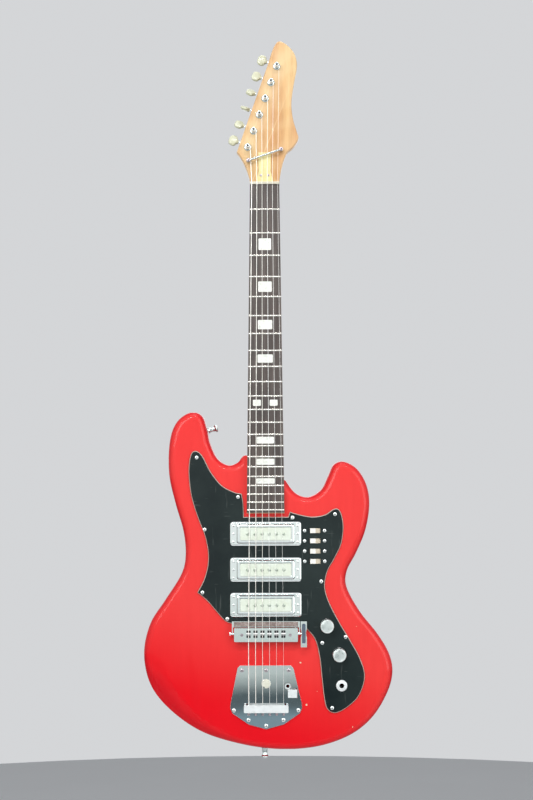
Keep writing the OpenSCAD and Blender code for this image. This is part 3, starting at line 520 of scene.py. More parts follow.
def plastic(name, color, shade, rough=0.25, coat=0.0, grain=60, depth=0.00003, wear=0.3):
    """Moulded plastic with slow colour drift, faint grime and a soft bump."""
    m = Mat(name, color, rough, coat=coat)
    drift = m.fit(m.noise(grain, 4, 0.55), 0.3, 0.7)
    grime = m.fit(m.noise(grain * 7, 5, 0.65), 0.52, 0.8)
    m.color(m.mix(m.math("MULTIPLY", grime, wear), m.mix(drift, color, shade), tuple(c * 0.55 for c in shade)))
    m.rough(m.fit(m.noise(grain * 2, 4), 0.25, 0.75, rough * 0.75, rough * 1.4))
    m.bump(m.noise(grain * 5, 4), depth, 0.4)
    return m


# chips in the lacquer: x, z and radius in mm
CHIPS = [(47, -661, 1.3), (55, -718, 1.4), (70, -700, 0.5), (118, -748, 0.8), (-96, -742, 0.7),
         (124, -612, 0.6)]
face_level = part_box("body")[0].y


def red_lacquer():
    """Thick red lacquer with small pale chips, and painted shade: darker low down towards the lower left, and darker
    in the rounded edges, sides and back.
    """
    m = Mat("red_lacquer", (0.75, 0.02, 0.02), 0.2, coat=0.3, coat_rough=0.06, ior=1.4)
    m.shader.inputs["Specular IOR Level"].default_value = 0.06
    z, y = m.axis(2), m.axis(1)
    # painted shade: the face is darkened towards the bottom and the lower left
    low = m.fit(m.math("ADD", z, m.math("MULTIPLY", m.axis(0), 0.4)), -0.60, -0.765, 0, 1, True)
    cloud = m.fit(m.noise(6, 4, 0.55), 0.3, 0.7)
    grain = m.fit(m.noise(22, 5, 0.6, m.stretch((5, 5, 0.5))), 0.35, 0.7)
    face = m.mix(low, (0.80, 0.048, 0.044), (0.74, 0.004, 0.011))
    face = m.mix(m.math("MULTIPLY", cloud, 0.28), face, (0.68, 0.008, 0.014))
    face = m.mix(m.math("MULTIPLY", grain, 0.12), face, (0.56, 0.006, 0.01))
    # painted shade: the rounded edges, the sides and the back are darkened
    edge_shade = m.fit(y, face_level + 0.0006, face_level + 0.005, 0, 1, True)
    face = m.mix(m.math("MULTIPLY", edge_shade, 0.85), face, (0.60, 0.001, 0.008))
    # small chips where the body gets knocked, ragged by a fine noise
    ragged = m.math("MULTIPLY", m.noise(900, 3, 0.6), 0.0022)
    chips = None
    for x, zz, r in CHIPS:
        d = m.node("ShaderNodeVectorMath", **{"Vector": m.place})
        d.operation = "DISTANCE"
        d.inputs[1].default_value = (x * MM, face_level, zz * MM)
        spot = m.fit(m.math("ADD", d.outputs["Value"], ragged), (r + 1.1) * MM, (r + 0.8) * MM)
        chips = spot if chips is None else m.math("MAXIMUM", chips, spot)
    face = m.mix(chips, face, (0.78, 0.55, 0.40))
    m.color(face)
    m.rough(m.fit(m.noise(40, 5), 0.3, 0.7, 0.16, 0.27))
    m.bump(m.noise(9, 3), 0.0012, 0.25)
    m.bump(m.noise(240, 3), 0.00006, 0.35)
    m.bump(m.math("MULTIPLY", chips, -1.0), 0.0004, 0.7)
    return m


def maple():
    m = Mat("maple", (0.78, 0.5, 0.26), 0.34, coat=0.12, coat_rough=0.18)
    m.shader.inputs["Specular IOR Level"].default_value = 0.3
    long = m.stretch((1, 1, 0.07), turn=(0, 0.06, 0))
    streak = m.noise(55, 6, 0.62, long, 0.6)
    fine = m.noise(420, 4, 0.7, long)
    flame = m.wave(9, "Z", 9, 2.0, m.stretch((2.4, 1, 1)), 1.2)
    blush = m.fit(m.noise(16, 4, 0.6, m.stretch((2.4, 1, 0.6))), 0.35, 0.72)
    c = m.ramp(streak, (0.25, (0.43, 0.20, 0.075)), (0.45, (0.59, 0.34, 0.145)),
               (0.62, (0.69, 0.45, 0.205)), (0.85, (0.77, 0.58, 0.30)))
    c = m.mix(m.math("MULTIPLY", blush, 0.38), c, (0.66, 0.29, 0.125))
    c = m.mix(m.math("MULTIPLY", m.fit(fine, 0.5, 0.8), 0.35), c, (0.36, 0.16, 0.07))
    c = m.mix(m.math("MULTIPLY", m.fit(flame, 0.2, 0.9), 0.10), c, (0.86, 0.70, 0.43))
    # lighter on the rounded edges: partly wear, partly a painted highlight
    edge_wear_and_highlight = pointiness(m, 0.51, 0.58)
    c = m.mix(m.math("MULTIPLY", edge_wear_and_highlight, 0.55), c, (0.86, 0.72, 0.45))
    m.color(c)
    m.rough(m.fit(streak, 0.2, 0.8, 0.42, 0.28))
    m.bump(fine, 0.00006, 0.35)
    m.bump(m.noise(14, 2), 0.0004, 0.2)
    return m


def rosewood():
    m = Mat("rosewood", (0.1, 0.07, 0.055), 0.5)
    long = m.stretch((1, 1, 0.045))
    streak = m.noise(150, 6, 0.65, long, 0.4)
    pores = m.fit(m.noise(900, 3, 0.7, m.stretch((1, 1, 0.09))), 0.58, 0.70)
    c = m.ramp(streak, (0.3, (0.044, 0.031, 0.027)), (0.5, (0.078, 0.060, 0.052)),
               (0.72, (0.138, 0.108, 0.093)))
    c = m.mix(m.fit(m.noise(18, 4), 0.35, 0.7), c, m.mix(1.0, c, (0.70, 0.74, 0.78), "MULTIPLY"))
    c = m.mix(m.math("MULTIPLY", pores, 0.75), c, (0.016, 0.011, 0.009))
    m.color(c)
    m.rough(m.fit(streak, 0.3, 0.7, 0.36, 0.56))
    m.bump(m.math("MULTIPLY", pores, -1.0), 0.00012, 0.7)
    m.bump(streak, 0.00005, 0.4)
    return m


def pearl():
    m = Mat("pearl", (0.85, 0.86, 0.8), 0.2, coat=0.5)
    swirl = m.noise(170, 4, 0.6, None, 2.2)
    flake = m.cells(380, None, "SMOOTH_F1")
    c = m.ramp(swirl, (0.3, (0.58, 0.62, 0.57)), (0.5, (0.82, 0.84, 0.77)), (0.7, (0.93, 0.93, 0.88)))
    m.color(m.mix(m.fit(flake, 0.0, 0.7, 0.0, 0.25), c, (0.98, 0.97, 0.93)))
    m.rough(m.fit(swirl, 0.3, 0.7, 0.14, 0.3))
    m.bump(m.noise(300, 3), 0.00002, 0.3)
    return m


def guard_black():
    m = Mat("guard_black", (0.012, 0.018, 0.018), 0.1)
    m.shader.inputs["Specular IOR Level"].default_value = 0.2
    cloud = m.fit(m.noise(9, 5, 0.6), 0.35, 0.7)
    scratch = m.fit(m.noise(210, 2, 0.5, m.stretch((1, 1, 0.10), turn=(0, 0.7, 0))), 0.66, 0.72)
    swirl = m.fit(m.noise(320, 2, 0.5, m.stretch((0.12, 1, 1), turn=(0, 0.3, 0))), 0.67, 0.73)
    dust = m.fit(m.noise(1500, 2, 0.6), 0.70, 0.78)
    marks = m.math("MAXIMUM", scratch, swirl)
    c = m.mix(cloud, (0.008, 0.014, 0.015), (0.020, 0.030, 0.029))
    c = m.mix(m.math("MULTIPLY", m.math("MAXIMUM", marks, dust), 0.10), c, (0.35, 0.38, 0.36))
    m.color(c)
    m.rough(m.math("ADD", m.fit(cloud, 0, 1, 0.07, 0.17), m.math("MULTIPLY", marks, 0.12)))
    m.bump(m.noise(5, 2), 0.0016, 0.16)
    m.bump(m.math("MULTIPLY", marks, -1.0), 0.00002, 0.4)
    return m


def wound_steel():
    m = Mat("wound_string", (0.74, 0.72, 0.66), 0.26, 1.0)
    turns = m.wave(560, "Z")
    cloud = m.fit(m.noise(60, 4), 0.3, 0.7)
    m.color(m.mix(m.math("MULTIPLY", turns, 0.5), m.mix(cloud, (0.94, 0.93, 0.88), (0.84, 0.82, 0.76)),
                  (0.60, 0.58, 0.53)))
    m.rough(m.fit(cloud, 0, 1, 0.32, 0.42))
    m.bump(turns, 0.00008, 0.6)
    return m


def felt():
    m = Mat("mute_foam", (0.3, 0.25, 0.22), 0.92)
    fibre = m.noise(700, 6, 0.75)
    tuft = m.noise(190, 4, 0.6)
    m.color(m.ramp(m.math("ADD", m.math("MULTIPLY", fibre, 0.5), m.math("MULTIPLY", tuft, 0.5)),
                   (0.32, (0.10, 0.075, 0.07)), (0.5, (0.26, 0.20, 0.18)), (0.68, (0.52, 0.46, 0.43))))
    m.shader.inputs["Sheen Weight"].default_value = 0.35
    m.bump(fibre, 0.0007, 0.9)
    m.bump(tuft, 0.0012, 0.6)
    return m


def satin(name, color):
    """Frosted plating: half of its light is scattered, so it stays bright from every side."""
    m = metal(name, color, 0.36, 0.15, 0.95, 200)
    m.shader.inputs["Metallic"].default_value = 0.45
    return m


M = {
    "body": red_lacquer(), "maple": maple(), "rosewood": rosewood(), "pearl": pearl(), "guard": guard_black(),
    "guard_edge": plastic("guard_edge", (0.50, 0.47, 0.41), (0.40, 0.36, 0.31), 0.32),
    "fret": metal("fret_wire", (0.78, 0.76, 0.70), 0.2, 0.35, 0.86, 150, (40, 1, 1)),
    "nut": plastic("bone_white", (0.68, 0.65, 0.54), (0.60, 0.56, 0.43), 0.3),
    "steel": metal("steel", (0.56, 0.56, 0.55), 0.3, 0.5, 0.8),
    "cover_cream": plastic("cover_cream", (0.84, 0.75, 0.38), (0.78, 0.67, 0.31), 0.3, 0.2),
    "screw": metal("screw_steel", (0.80, 0.84, 0.82), 0.32, 0.35, 0.86, 300),
    "screw_dull": metal("screw_dull", (0.50, 0.44, 0.47), 0.34, 0.5, 0.8, 300),
    # near-black painted shade for holes and recesses: screw crosses, the tuner posts' top holes, the rockers' sides
    # and the jack's bore
    "recess": plastic("recess_painted_shade", (0.03, 0.028, 0.026), (0.015, 0.014, 0.013), 0.6),
    "chrome": metal("chrome", (0.86, 0.91, 0.90), 0.08, 0.2, 0.97),
    "plated": metal("plated_grey", (0.60, 0.66, 0.65), 0.2, 0.3, 0.9, 200),
    # dark grey painted shade inside the screws' cross recesses
    "slot": metal("slot_painted_shade", (0.20, 0.21, 0.21), 0.5, 0.3, 0.85, 300),
    "mirror": metal("chrome_mirror", (0.86, 0.88, 0.89), 0.025, 0.2, 0.95, 40, None, 0.00005),
    # a painted dark reflection for the mute lever's face
    "dark_reflection": metal("chrome_shaded", (0.22, 0.27, 0.36), 0.16, 0.4, 0.8),
    "knob_top": metal("knob_top", (0.80, 0.86, 0.84), 0.30, 0.3, 0.86, 140, (9, 1, 0.5)),
    # a near-black sheet that stands in for the shadow under the bridge's slots
    "painted_shadow_steel": metal("painted_shadow_steel", (0.05, 0.05, 0.055), 0.4, 0.4, 0.8),
    "dome": plastic("dome_cream", (0.82, 0.83, 0.72), (0.70, 0.70, 0.58), 0.14, 0.6, 120),
    "button": plastic("button_cream", (0.62, 0.64, 0.48), (0.55, 0.55, 0.38), 0.3, 0.25, 90),
    "string": metal("string_steel", (0.92, 0.92, 0.90), 0.34, 0.1, 0.94, 60),
    "wound": wound_steel(),
    "insert": plastic("insert_cream", (0.74, 0.81, 0.72), (0.68, 0.74, 0.61), 0.3, 0.3, 70),
    "coil": plastic("coil_brown", (0.22, 0.10, 0.05), (0.14, 0.06, 0.03), 0.55, 0, 200, 0.0001),
    "pole": metal("pole_steel", (0.50, 0.56, 0.48), 0.5, 0.3, 0.85, 400),
    "housing": plastic("housing_grey", (0.10, 0.10, 0.10), (0.06, 0.06, 0.06), 0.5),
    "rocker": plastic("rocker_white", (0.90, 0.90, 0.86), (0.82, 0.80, 0.72), 0.28, 0.2, 120),
    # a shaded copy of the rockers' white, painted on the right part of each cap
    "rocker_shaded_half": plastic("rocker_shaded_half", (0.62, 0.55, 0.42), (0.52, 0.45, 0.33), 0.34, 0.1, 120),
    "knob": metal("knob_metal", (0.80, 0.83, 0.82), 0.24, 0.2, 0.92, 120),
    "wire": plastic("wire_cloth", (0.62, 0.46, 0.16), (0.45, 0.32, 0.10), 0.7, 0, 300, 0.0001),
    "felt": felt(),
    "bar": satin("bar_nickel", (0.84, 0.88, 0.88)),
    # dark painted shade inside the pole screws' slots
    "pole_slot_painted_shade": metal("pole_slot_painted_shade", (0.20, 0.23, 0.19), 0.6, 0.3, 0.85, 400),
}


# ---------------------------------------------------------------- outlines and levels, in mm
BODY = [(28, -412), (41, -429), (59, -435), (77, -425), (87, -406), (95, -390), (109, -386), (127, -396),
        (140, -418), (144, -446), (138, -481), (125, -512), (112, -537), (112, -560), (130, -593), (153, -622),
        (169, -649), (174, -674), (167, -702), (147, -735), (118, -759), (79, -774), (38, -779.5), (-1, -778),
        (-41, -771), (-83, -758), (-117, -738), (-147, -710), (-163, -681), (-168, -644), (-159, -607),
        (-139, -576), (-117, -541), (-111, -515), (-114, -481), (-125, -443), (-134, -402), (-133, -357),
        (-123, -330), (-104, -317), (-88, -322), (-81, -342), (-77, -360), (-67, -381), (-52, -390.5),
        (-39, -387), (-26.6, -377), (2, -398)]
GUARD = [[(-30, -462), (31, -462)], [(31, -462), (33.5, -455)],
         [(33.5, -455), (47, -459), (65, -462), (82, -459), (95, -451), (103, -455), (107, -474), (104, -499),
          (94, -520), (85, -536), (81, -556), (86, -577), (100, -605), (115, -630), (129, -656), (135, -680),
          (127, -705), (111, -721), (94, -729), (83, -723), (79, -707), (76, -680), (73, -652), (67, -629),
          (55, -614)],
         [(55, -614), (-46, -607.5)],
         [(-46, -607.5), (-56, -604), (-67, -592), (-80, -577), (-94, -565)],
         [(-94, -565), (-84, -545), (-79, -519), (-83, -490), (-94, -461), (-103, -430), (-106, -398),
          (-103, -376), (-96, -371), (-87, -378), (-76, -399), (-61, -418), (-44, -427.5), (-33, -430)],
         [(-33, -430), (-31, -442), (-30, -462)]]
HEAD = [[(-20.5, 0), (-21.5, 10), (-25.5, 23), (-32, 37), (-39, 47)], [(-39, 47), (6, 175)],
        [(6, 175), (11, 191), (16, 201), (22.5, 205), (34, 198), (43, 186), (46, 169), (41.5, 144), (38, 117),
         (40, 95), (45, 77), (47.5, 66), (40.5, 54.5), (31.5, 46), (25.5, 31), (21.5, 12), (20.5, 0)]]
# the forearm contour's inner edge
CREASE = [(-143, -655), (-134, -678), (-127, -695), (-107, -719), (-80, -739), (-51, -759), (-24, -772),
          (10, -784)]

body_box, neck_box, board_box = box("body"), box("neck"), box("fingerboard")
guard_box, nut_box = box("pickguard"), box("nut")
face_y, back_y = body_box.lo.y, body_box.hi.y
guard_y = guard_box.lo.y
board_t = neck_box.lo.y
crown_r = 305.0
board_end = board_box.lo.z
nut_w = nut_box.size.x
board_end_w = board_box.size.x
fret_boxes = sorted(solids("frets"), key=lambda b: -b.mid.z)
posts = [joint(f"post_{k}_turn")[0] for k in range(1, 7)]
keys = [joint(f"key_{k}_turn") for k in range(1, 7)]
lean = (posts[5] - posts[0]).normalized()
pickups = sorted(solids("pickup_rings"), key=lambda b: -b.mid.z)


def board_half(z):
    return (nut_w + (board_end_w - nut_w) * z / board_end) / 2


def crown(x):
    return x * x / (2 * crown_r)


def block(x, z, w, h, y0, y1, r=0.0):
    x0, x1, z0, z1 = x - w / 2, x + w / 2, z - h / 2, z + h / 2
    corners = round_rect(x, z, w, h, r) if r else [(x0, z0), (x0, z1), (x1, z1), (x1, z0)]
    return plate(corners, [(0, y0), (0, y1)])


def peg(x, z, r, y0, y1, steps=40):
    return plate(disc(x, z, r, steps), [(0, y0), (0, y1)])


def crowned_block(x0, x1, z0, z1, lift, depth, r, steps=12):
    """A block in the crowned fingerboard with rounded corners, its face lifted off the crown."""
    xs = [x0 + r * (1 - math.cos(a)) for a in (0, 0.5, 1.05)] + \
         [x0 + r + (x1 - x0 - 2 * r) * k / steps for k in range(steps + 1)] + \
         [x1 - r * (1 - math.cos(a)) for a in (1.05, 0.5, 0)]
    rings = []
    for x in xs:
        edge = min(x - x0, x1 - x)
        tuck = 0 if edge >= r else r - math.sqrt(max(0, r * r - (r - edge) ** 2))
        y, low, high = crown(x) - lift, z0 + tuck, z1 - tuck
        rings.append([(x, y, low), (x, y, high), (x, y + depth, high), (x, y + depth, low)])
    return loft(rings)


# ---------------------------------------------------------------- screws, each a unit head that is scaled
def screw_head(kind):
    """Head of radius 1, its underside at height 0. Face 0 is plated, face 1 is the recess, which its material paints
    dark as shade.
    """
    angles = [math.radians(d) for d in range(12, 85, 12)]
    dome = [(0, -0.05), (0.94, -0.05), (1.0, 0.02), (1.0, 0.13)]
    dome += [(math.cos(a), 0.13 + 0.42 * math.sin(a)) for a in angles] + [(0, 0.55)]
    head = lathe(dome, 32)
    if kind == "cross":
        arm = loft([[(-w, -0.075 - s, z), (w, -0.075 - s, z), (w, 0.075 + s, z), (-w, 0.075 + s, z)]
                    for w, s, z in ((0.12, 0, 0.22), (0.40, 0.02, 0.40), (0.56, 0.05, 0.70))], 1)
        turned = Shape().join(arm, Matrix.Rotation(math.pi / 2, 4, "Z"))
        return cut(cut(head, arm), turned)
    slot = loft([[(-1.3, -0.1, z), (1.3, -0.1, z), (1.3, 0.1, z), (-1.3, 0.1, z)] for z in (0.28, 0.8)], 1)
    return cut(head, slot)


CROSS, SLOT = screw_head("cross"), screw_head("slot")


def screws(node, head, name, materials, to_back=False, tall=0.95, rule=None):
    """A piece with a detailed screw in each place where the CAD node has one."""
    shape = Shape()
    for k, b in enumerate(solids(node)):
        r = b.size.x / 2
        y = b.hi.y if to_back else b.lo.y
        h = tall * r * 0.55
        tip = h - b.size.y
        at = (back if to_back else front)(b.mid.x, y - h if to_back else y + h, b.mid.z, 0.7 + 2.1 * k)
        shape.join(head, at @ Matrix.Diagonal((r, r, r * tall, 1)))
        shank = tube([(0, 0, -0.1), (0, 0, tip + 0.8), (0, 0, tip)], [r * 0.5, r * 0.5, r * 0.12], 14)
        shape.join(shank, at, 0)
    if rule:
        shape.painted(rule)
    return piece(name, shape, materials, nodes=node)


def rounded(name, node, width, material, segments=2, angle=40, body="guitar", crease=38):
    """A piece that is a CAD node's own surface with its edges rounded by width."""
    return piece(name, soften(cad(node), width, segments, angle), M[material], body, node, crease)


# ---------------------------------------------------------------- body
outline = [(max(body_box.lo.x, min(body_box.hi.x, x)), max(body_box.lo.z, min(body_box.hi.z, z)))
           for x, z in smooth_run(BODY + [BODY[0]], 6)]
ROUND, BACK_ROUND = 10.5, 8.0
SCOOP_TOP, SCOOP_FULL = -650, -710  # the forearm contour begins and is whole at these heights


def off_crease(x, z):
    """How far a point lies outside the forearm contour's crease, in mm."""
    best, side = 1e9, 0
    for (ax, az), (bx, bz) in zip(CREASE, CREASE[1:]):
        dx, dz, px, pz = bx - ax, bz - az, x - ax, z - az
        t = max(0, min(1, (px * dx + pz * dz) / (dx * dx + dz * dz)))
        gap = math.hypot(px - t * dx, pz - t * dz)
        if gap < best:
            best, side = gap, dx * pz - dz * px
    return best if side < 0 else 0.0


def scoop(x, z):
    """How far the face lies back for the player's forearm."""
    return 0.35 * off_crease(x, z) * smooth_step(SCOOP_TOP, SCOOP_FULL, z) if z < SCOOP_TOP else 0.0


def inside(x, z, loop):
    hit = False
    for (ax, az), (bx, bz) in zip(loop, loop[1:] + loop[:1]):
        if (az > z) != (bz > z) and x < ax + (z - az) / (bz - az) * (bx - ax):
            hit = not hit
    return hit


HEEL_TIP, TIP_REACH = BODY[-2], 16  # the edge's rounding fades out towards this sharp tip beside the neck


def body_ring(d):
    """The body's outline moved in by d, and by less near the tip, so that it never crosses itself."""
    ring = []
    for (x, z), (u, v) in zip(outline, inward(outline, d)):
        part = smooth_step(0, TIP_REACH, math.hypot(x - HEEL_TIP[0], z - HEEL_TIP[1]))
        ring.append((x + (u - x) * part, z + (v - z) * part))
    return ring


def body_shape():
    rings = []
    for d, y in rim(face_y, back_y, ROUND, 8, BACK_ROUND):
        fade = max(0.0, 1 - (y - face_y) / ROUND)
        rings.append([(x, y + scoop(x, z) * fade, z) for x, z in body_ring(d)])
    shell = loft(rings, caps=False)
    loop = [(p[0], p[2]) for p in rings[0]]
    chain = []
    for (ax, az), (bx, bz) in zip(CREASE, CREASE[1:]):
        count = max(2, int(math.hypot(bx - ax, bz - az) / 5))
        chain += [(ax + (bx - ax) * k / count, az + (bz - az) * k / count) for k in range(count)]
    inner = inward(loop, 2.0)
    chain = [p for p in chain if inside(*p, inner)]
    grid = [(x, z) for x in range(-165, 20, 7) for z in range(-778, -650, 7)
            if inside(x, z, inner) and off_crease(x, z) > 3]
    points = [Vector(p) for p in loop + chain + grid]
    n = len(loop)
    edges = [(i, (i + 1) % n) for i in range(n)] + [(n + i, n + i + 1) for i in range(len(chain) - 1)]
    verts, _, faces, origin, _, _ = delaunay_2d_cdt(points, edges, [tuple(range(n))], 1, 1e-5)
    cap = [rings[0][o[0]] if o and o[0] < n else (v.x, face_y + scoop(v.x, v.y), v.y)
           for v, o in zip(verts, origin)]
    shell.add(cap, [tuple(f) for f in faces])
    flat = [Vector((x, z)) for x, _, z in rings[-1]]
    verts, _, faces, _, _, _ = delaunay_2d_cdt(flat, [(i, (i + 1) % n) for i in range(n)], [tuple(range(n))], 1, 1e-5)
    shell.add([(v.x, back_y, v.y) for v in verts], [tuple(f) for f in faces])
    return shell


POCKET_TOP, POCKET_END, POCKET_GAP = -360, -457, 0.05
above = face_y - 4  # where the body's cutters begin
top_w, end_w = board_half(POCKET_TOP) + POCKET_GAP, board_half(POCKET_END) + POCKET_GAP
pocket_z = neck_box.lo.z - POCKET_GAP
pocket = plate([(-top_w, POCKET_TOP), (top_w, POCKET_TOP), (end_w, pocket_z), (-end_w, pocket_z)],
               [(0, above), (0, neck_box.hi.y if neck_box.hi.y < 30 else 25)])
pots = sorted(solids("potentiometers"), key=lambda b: -b.mid.z)
jack_box = box("output_jack")
# rooms under the guard and the vibrato: x, z, width, height and the depth of the floor
ROOMS = [(0, -534, 84, 128, 30), (58, -502, 56, 58, 32), (64, -567, 12, 90, 28), (91, -632, 16, 44, 30),
         (101, -670, 14, 44, 30), (0, -706.2, 60, 56.6, 34), (32, -700, 20, 26, 24)]
cavities = [block(x, z, w, h, above, floor_y) for x, z, w, h, floor_y in ROOMS]
cavities += [peg(b.mid.x, b.mid.z, 14.5, above, 33) for b in pots]
cavities += [peg(jack_box.mid.x, jack_box.mid.z, 13, above, 36)]
holes = Shape()
for b in solids("bridge_posts"):
    holes.join(peg(b.mid.x, box("bridge_base").mid.z, 3.1, above, b.hi.y + 0.2, 24))
for b in solids("neck_screws"):
    holes.join(peg(b.mid.x, b.mid.z, 2.3, 20, back_y + 3, 20))
piece("body_shell", cut(body_shape(), pocket, *cavities, holes), M["body"], nodes="body",
      crease=33)

# ---------------------------------------------------------------- neck and headstock
head_back = 20.5
head_outline = []
for run in HEAD:
    head_outline += smooth_run(run, 7)
head_outline.append(HEAD[-1][-1])
head_outline = [(x, min(neck_box.hi.z, z)) for x, z in head_outline]
# half widths of the neck's end under the headstock: z and half width
HEAD_LEFT = [(0, 20.5), (10, 21.5), (23, 25.5), (37, 32)]
HEAD_RIGHT = [(0, 20.5), (12, 21.5), (31, 25.5), (46, 31.5)]
# the neck's back: z, depth of the back, and how square its section is
SHAFT = [(28, 19.6, 14), (20, 20.1, 9), (12, 20.3, 4.2), (5, 20.8, 2.5), (0, 21, 2.1), (-40, 21.2, 2),
         (-160, 21.9, 2), (-314, 23, 2.2), (-345, 23.4, 2.6), (-366, 24.2, 3.6), (-380, 25, 8),
         (neck_box.lo.z, 25, 14)]


def ease(table, z, k):
    """Column k of a table ordered by falling z, read smoothly."""
    if z >= table[0][0]:
        return table[0][k]
    for a, b in zip(table, table[1:]):
        if b[0] <= z <= a[0]:
            t = (a[0] - z) / (a[0] - b[0])
            return a[k] + (b[k] - a[k]) * t * t * (3 - 2 * t)
    return table[-1][k]


def flare(table, z):
    """The half width from a table ordered by rising z."""
    for a, b in zip(table, table[1:]):
        if z <= b[0]:
            return a[1] + (b[1] - a[1]) * max(0, z - a[0]) / (b[0] - a[0])
    return table[-1][1]


def neck_ring(z):
    """The neck's section at z: the back as a rounded square, then the two soft edges under the board."""
    depth, power = ease(SHAFT, z, 1), ease(SHAFT, z, 2)
    tuck = 0.25 * smooth_step(0, 2, z) + 0.9 * smooth_step(13, 20, z)
    sunk = board_t + 1.2 * smooth_step(0.4, 3, z)
    left = (flare(HEAD_LEFT, z) if z > 0 else board_half(z)) - tuck
    right = (flare(HEAD_RIGHT, z) if z > 0 else board_half(z)) - tuck
    soft = 0.35
    ring = []
    for k in range(37):
        a = math.pi * k / 36
        c, s = math.cos(a), math.sin(a)
        half = right if c > 0 else left
        ring.append((squared(c, 2 / power) * half, sunk + soft + (depth - sunk - soft) * s ** (2 / power), z))
    for k in range(1, 5):
        a = math.pi / 2 * k / 4
        ring.append((-left + soft * (1 - math.cos(a)), sunk + soft * (1 - math.sin(a)), z))
    for k in range(4):
        a = math.pi / 2 * (1 - k / 4)
        ring.append((right - soft * (1 - math.cos(a)), sunk + soft * (1 - math.sin(a)), z))
    return ring


def head_rows():
    """Headstock plate: round edges, and a lower end that slants back so the neck's curve can run into it."""
    longer = [(-20.5, -30)] + head_outline + [(20.5, -30)]
    rows = []
    for d, y in rim(board_t, head_back, 1.9, 5):
        low = 1.2 + 15 * smooth_step(board_t, head_back + 4, y)
        rows.append([(x, y, max(low, z)) for x, z in (inward(longer, d) if d > NIL else longer)])
    return rows


stations = [neck_box.lo.z, -440, -420, -400, -390, -385, -381, *range(-378, -365, 3), -362, -358, -353, -348,
            -342, -335, -326, -314, -295, -270, -240, -205, *range(-160, -39, 40), -20, -8, 0, 0.6, 1.2, 2,
            *range(3, 25, 3), 28]
shaft = loft([neck_ring(z) for z in stations])
slab = loft(head_rows())
neck_shape = cut(shaft, slab, how="UNION")
neck_holes = Shape()
for p in posts:
    neck_holes.join(peg(p.x, p.z, 4.25, 0, 25, 28))
for b in solids("neck_screws"):
    neck_holes.join(peg(b.mid.x, b.mid.z, 2.3, 12, 30, 20))
channel = block(0, -205, 5.6, 440, board_t - 1, board_t + 10)
mouth = block(0, 16, 9, 24, board_t - 1, board_t + 9)
piece("neck_wood", cut(neck_shape, neck_holes, channel, mouth), M["maple"], nodes="neck",
      crease=32)

# ---------------------------------------------------------------- fingerboard, frets, inlays, nut
def board_ring(z):
    """The fingerboard's section at z, with a crowned face and soft edges."""
    w = board_half(z)
    edge = crown(w)
    ring = [(w, board_t, z), (-w, board_t, z), (-w, edge + 0.9, z)]
    ring += [(-w + 0.15, edge + 0.35, z), (-w + 0.6, edge + 0.02, z)]
    ring += [(x * (w - 1.2) / 10, crown(x * (w - 1.2) / 10), z) for x in range(-10, 11)]
    ring += [(w - 0.6, edge + 0.02, z), (w - 0.15, edge + 0.35, z), (w, edge + 0.9, z)]
    return ring


board_z = (0, -1, *range(-20, -450, -24), board_end + 1, board_end)
piece("fingerboard_wood", loft([board_ring(z) for z in board_z]), M["rosewood"], nodes="fingerboard")

# a fret's section: z and height off the crown
FRET = [(-1.2, 0.15), (-1.16, -0.12), (-1.0, -0.48), (-0.72, -0.82), (-0.36, -1.03), (0, -1.1), (0.36, -1.03),
        (0.72, -0.82), (1.0, -0.48), (1.16, -0.12), (1.2, 0.15)]
wire = Shape()
for b in fret_boxes:
    w = board_half(b.mid.z) - 0.1
    rings = []
    across = [(-w, 0.25), (-w + 0.35, 0.7), (-w + 0.95, 1)] + [(w * k / 6, 1) for k in range(-5, 6)]
    for x, full in across + [(w - 0.95, 1), (w - 0.35, 0.7), (w, 0.25)]:
        rings.append([(x, crown(x) + y * full + (0.05 if full < 1 else 0), b.mid.z + z * (0.5 + 0.5 * full))
                      for z, y in FRET])
    wire.join(loft(rings))
piece("fret_wires", wire, M["fret"], nodes="frets", crease=50)

dots = Shape()
for b in solids("inlays"):
    dots.join(crowned_block(b.lo.x, b.hi.x, b.lo.z, b.hi.z, 0.02, 1.2, 1.3))
piece("pearl_inlays", dots, M["pearl"], nodes="inlays")
rounded("nut_bone", "nut", 0.3, "nut", 3)

# ---------------------------------------------------------------- strings
STRING_D = [1.2, 0.95, 0.7, 0.5, 0.4, 0.3]
STRING_KIND = ["wound"] * 3 + ["string"] * 3
saddle_boxes = sorted(solids("saddles"), key=lambda b: b.mid.x)
saddle_z = saddle_boxes[0].mid.z
retainer = [(-22.8, 33.4), (23.0, 49.0)]
RETAINER_Y, RETAINER_R, WRAP_Y, POST_R = -0.9, 1.4, 1.6, 3.0
rise = (retainer[1][1] - retainer[0][1]) / (retainer[1][0] - retainer[0][0])
nut_seat = nut_box.lo.y + 0.6
bar_mid_z = -722.0


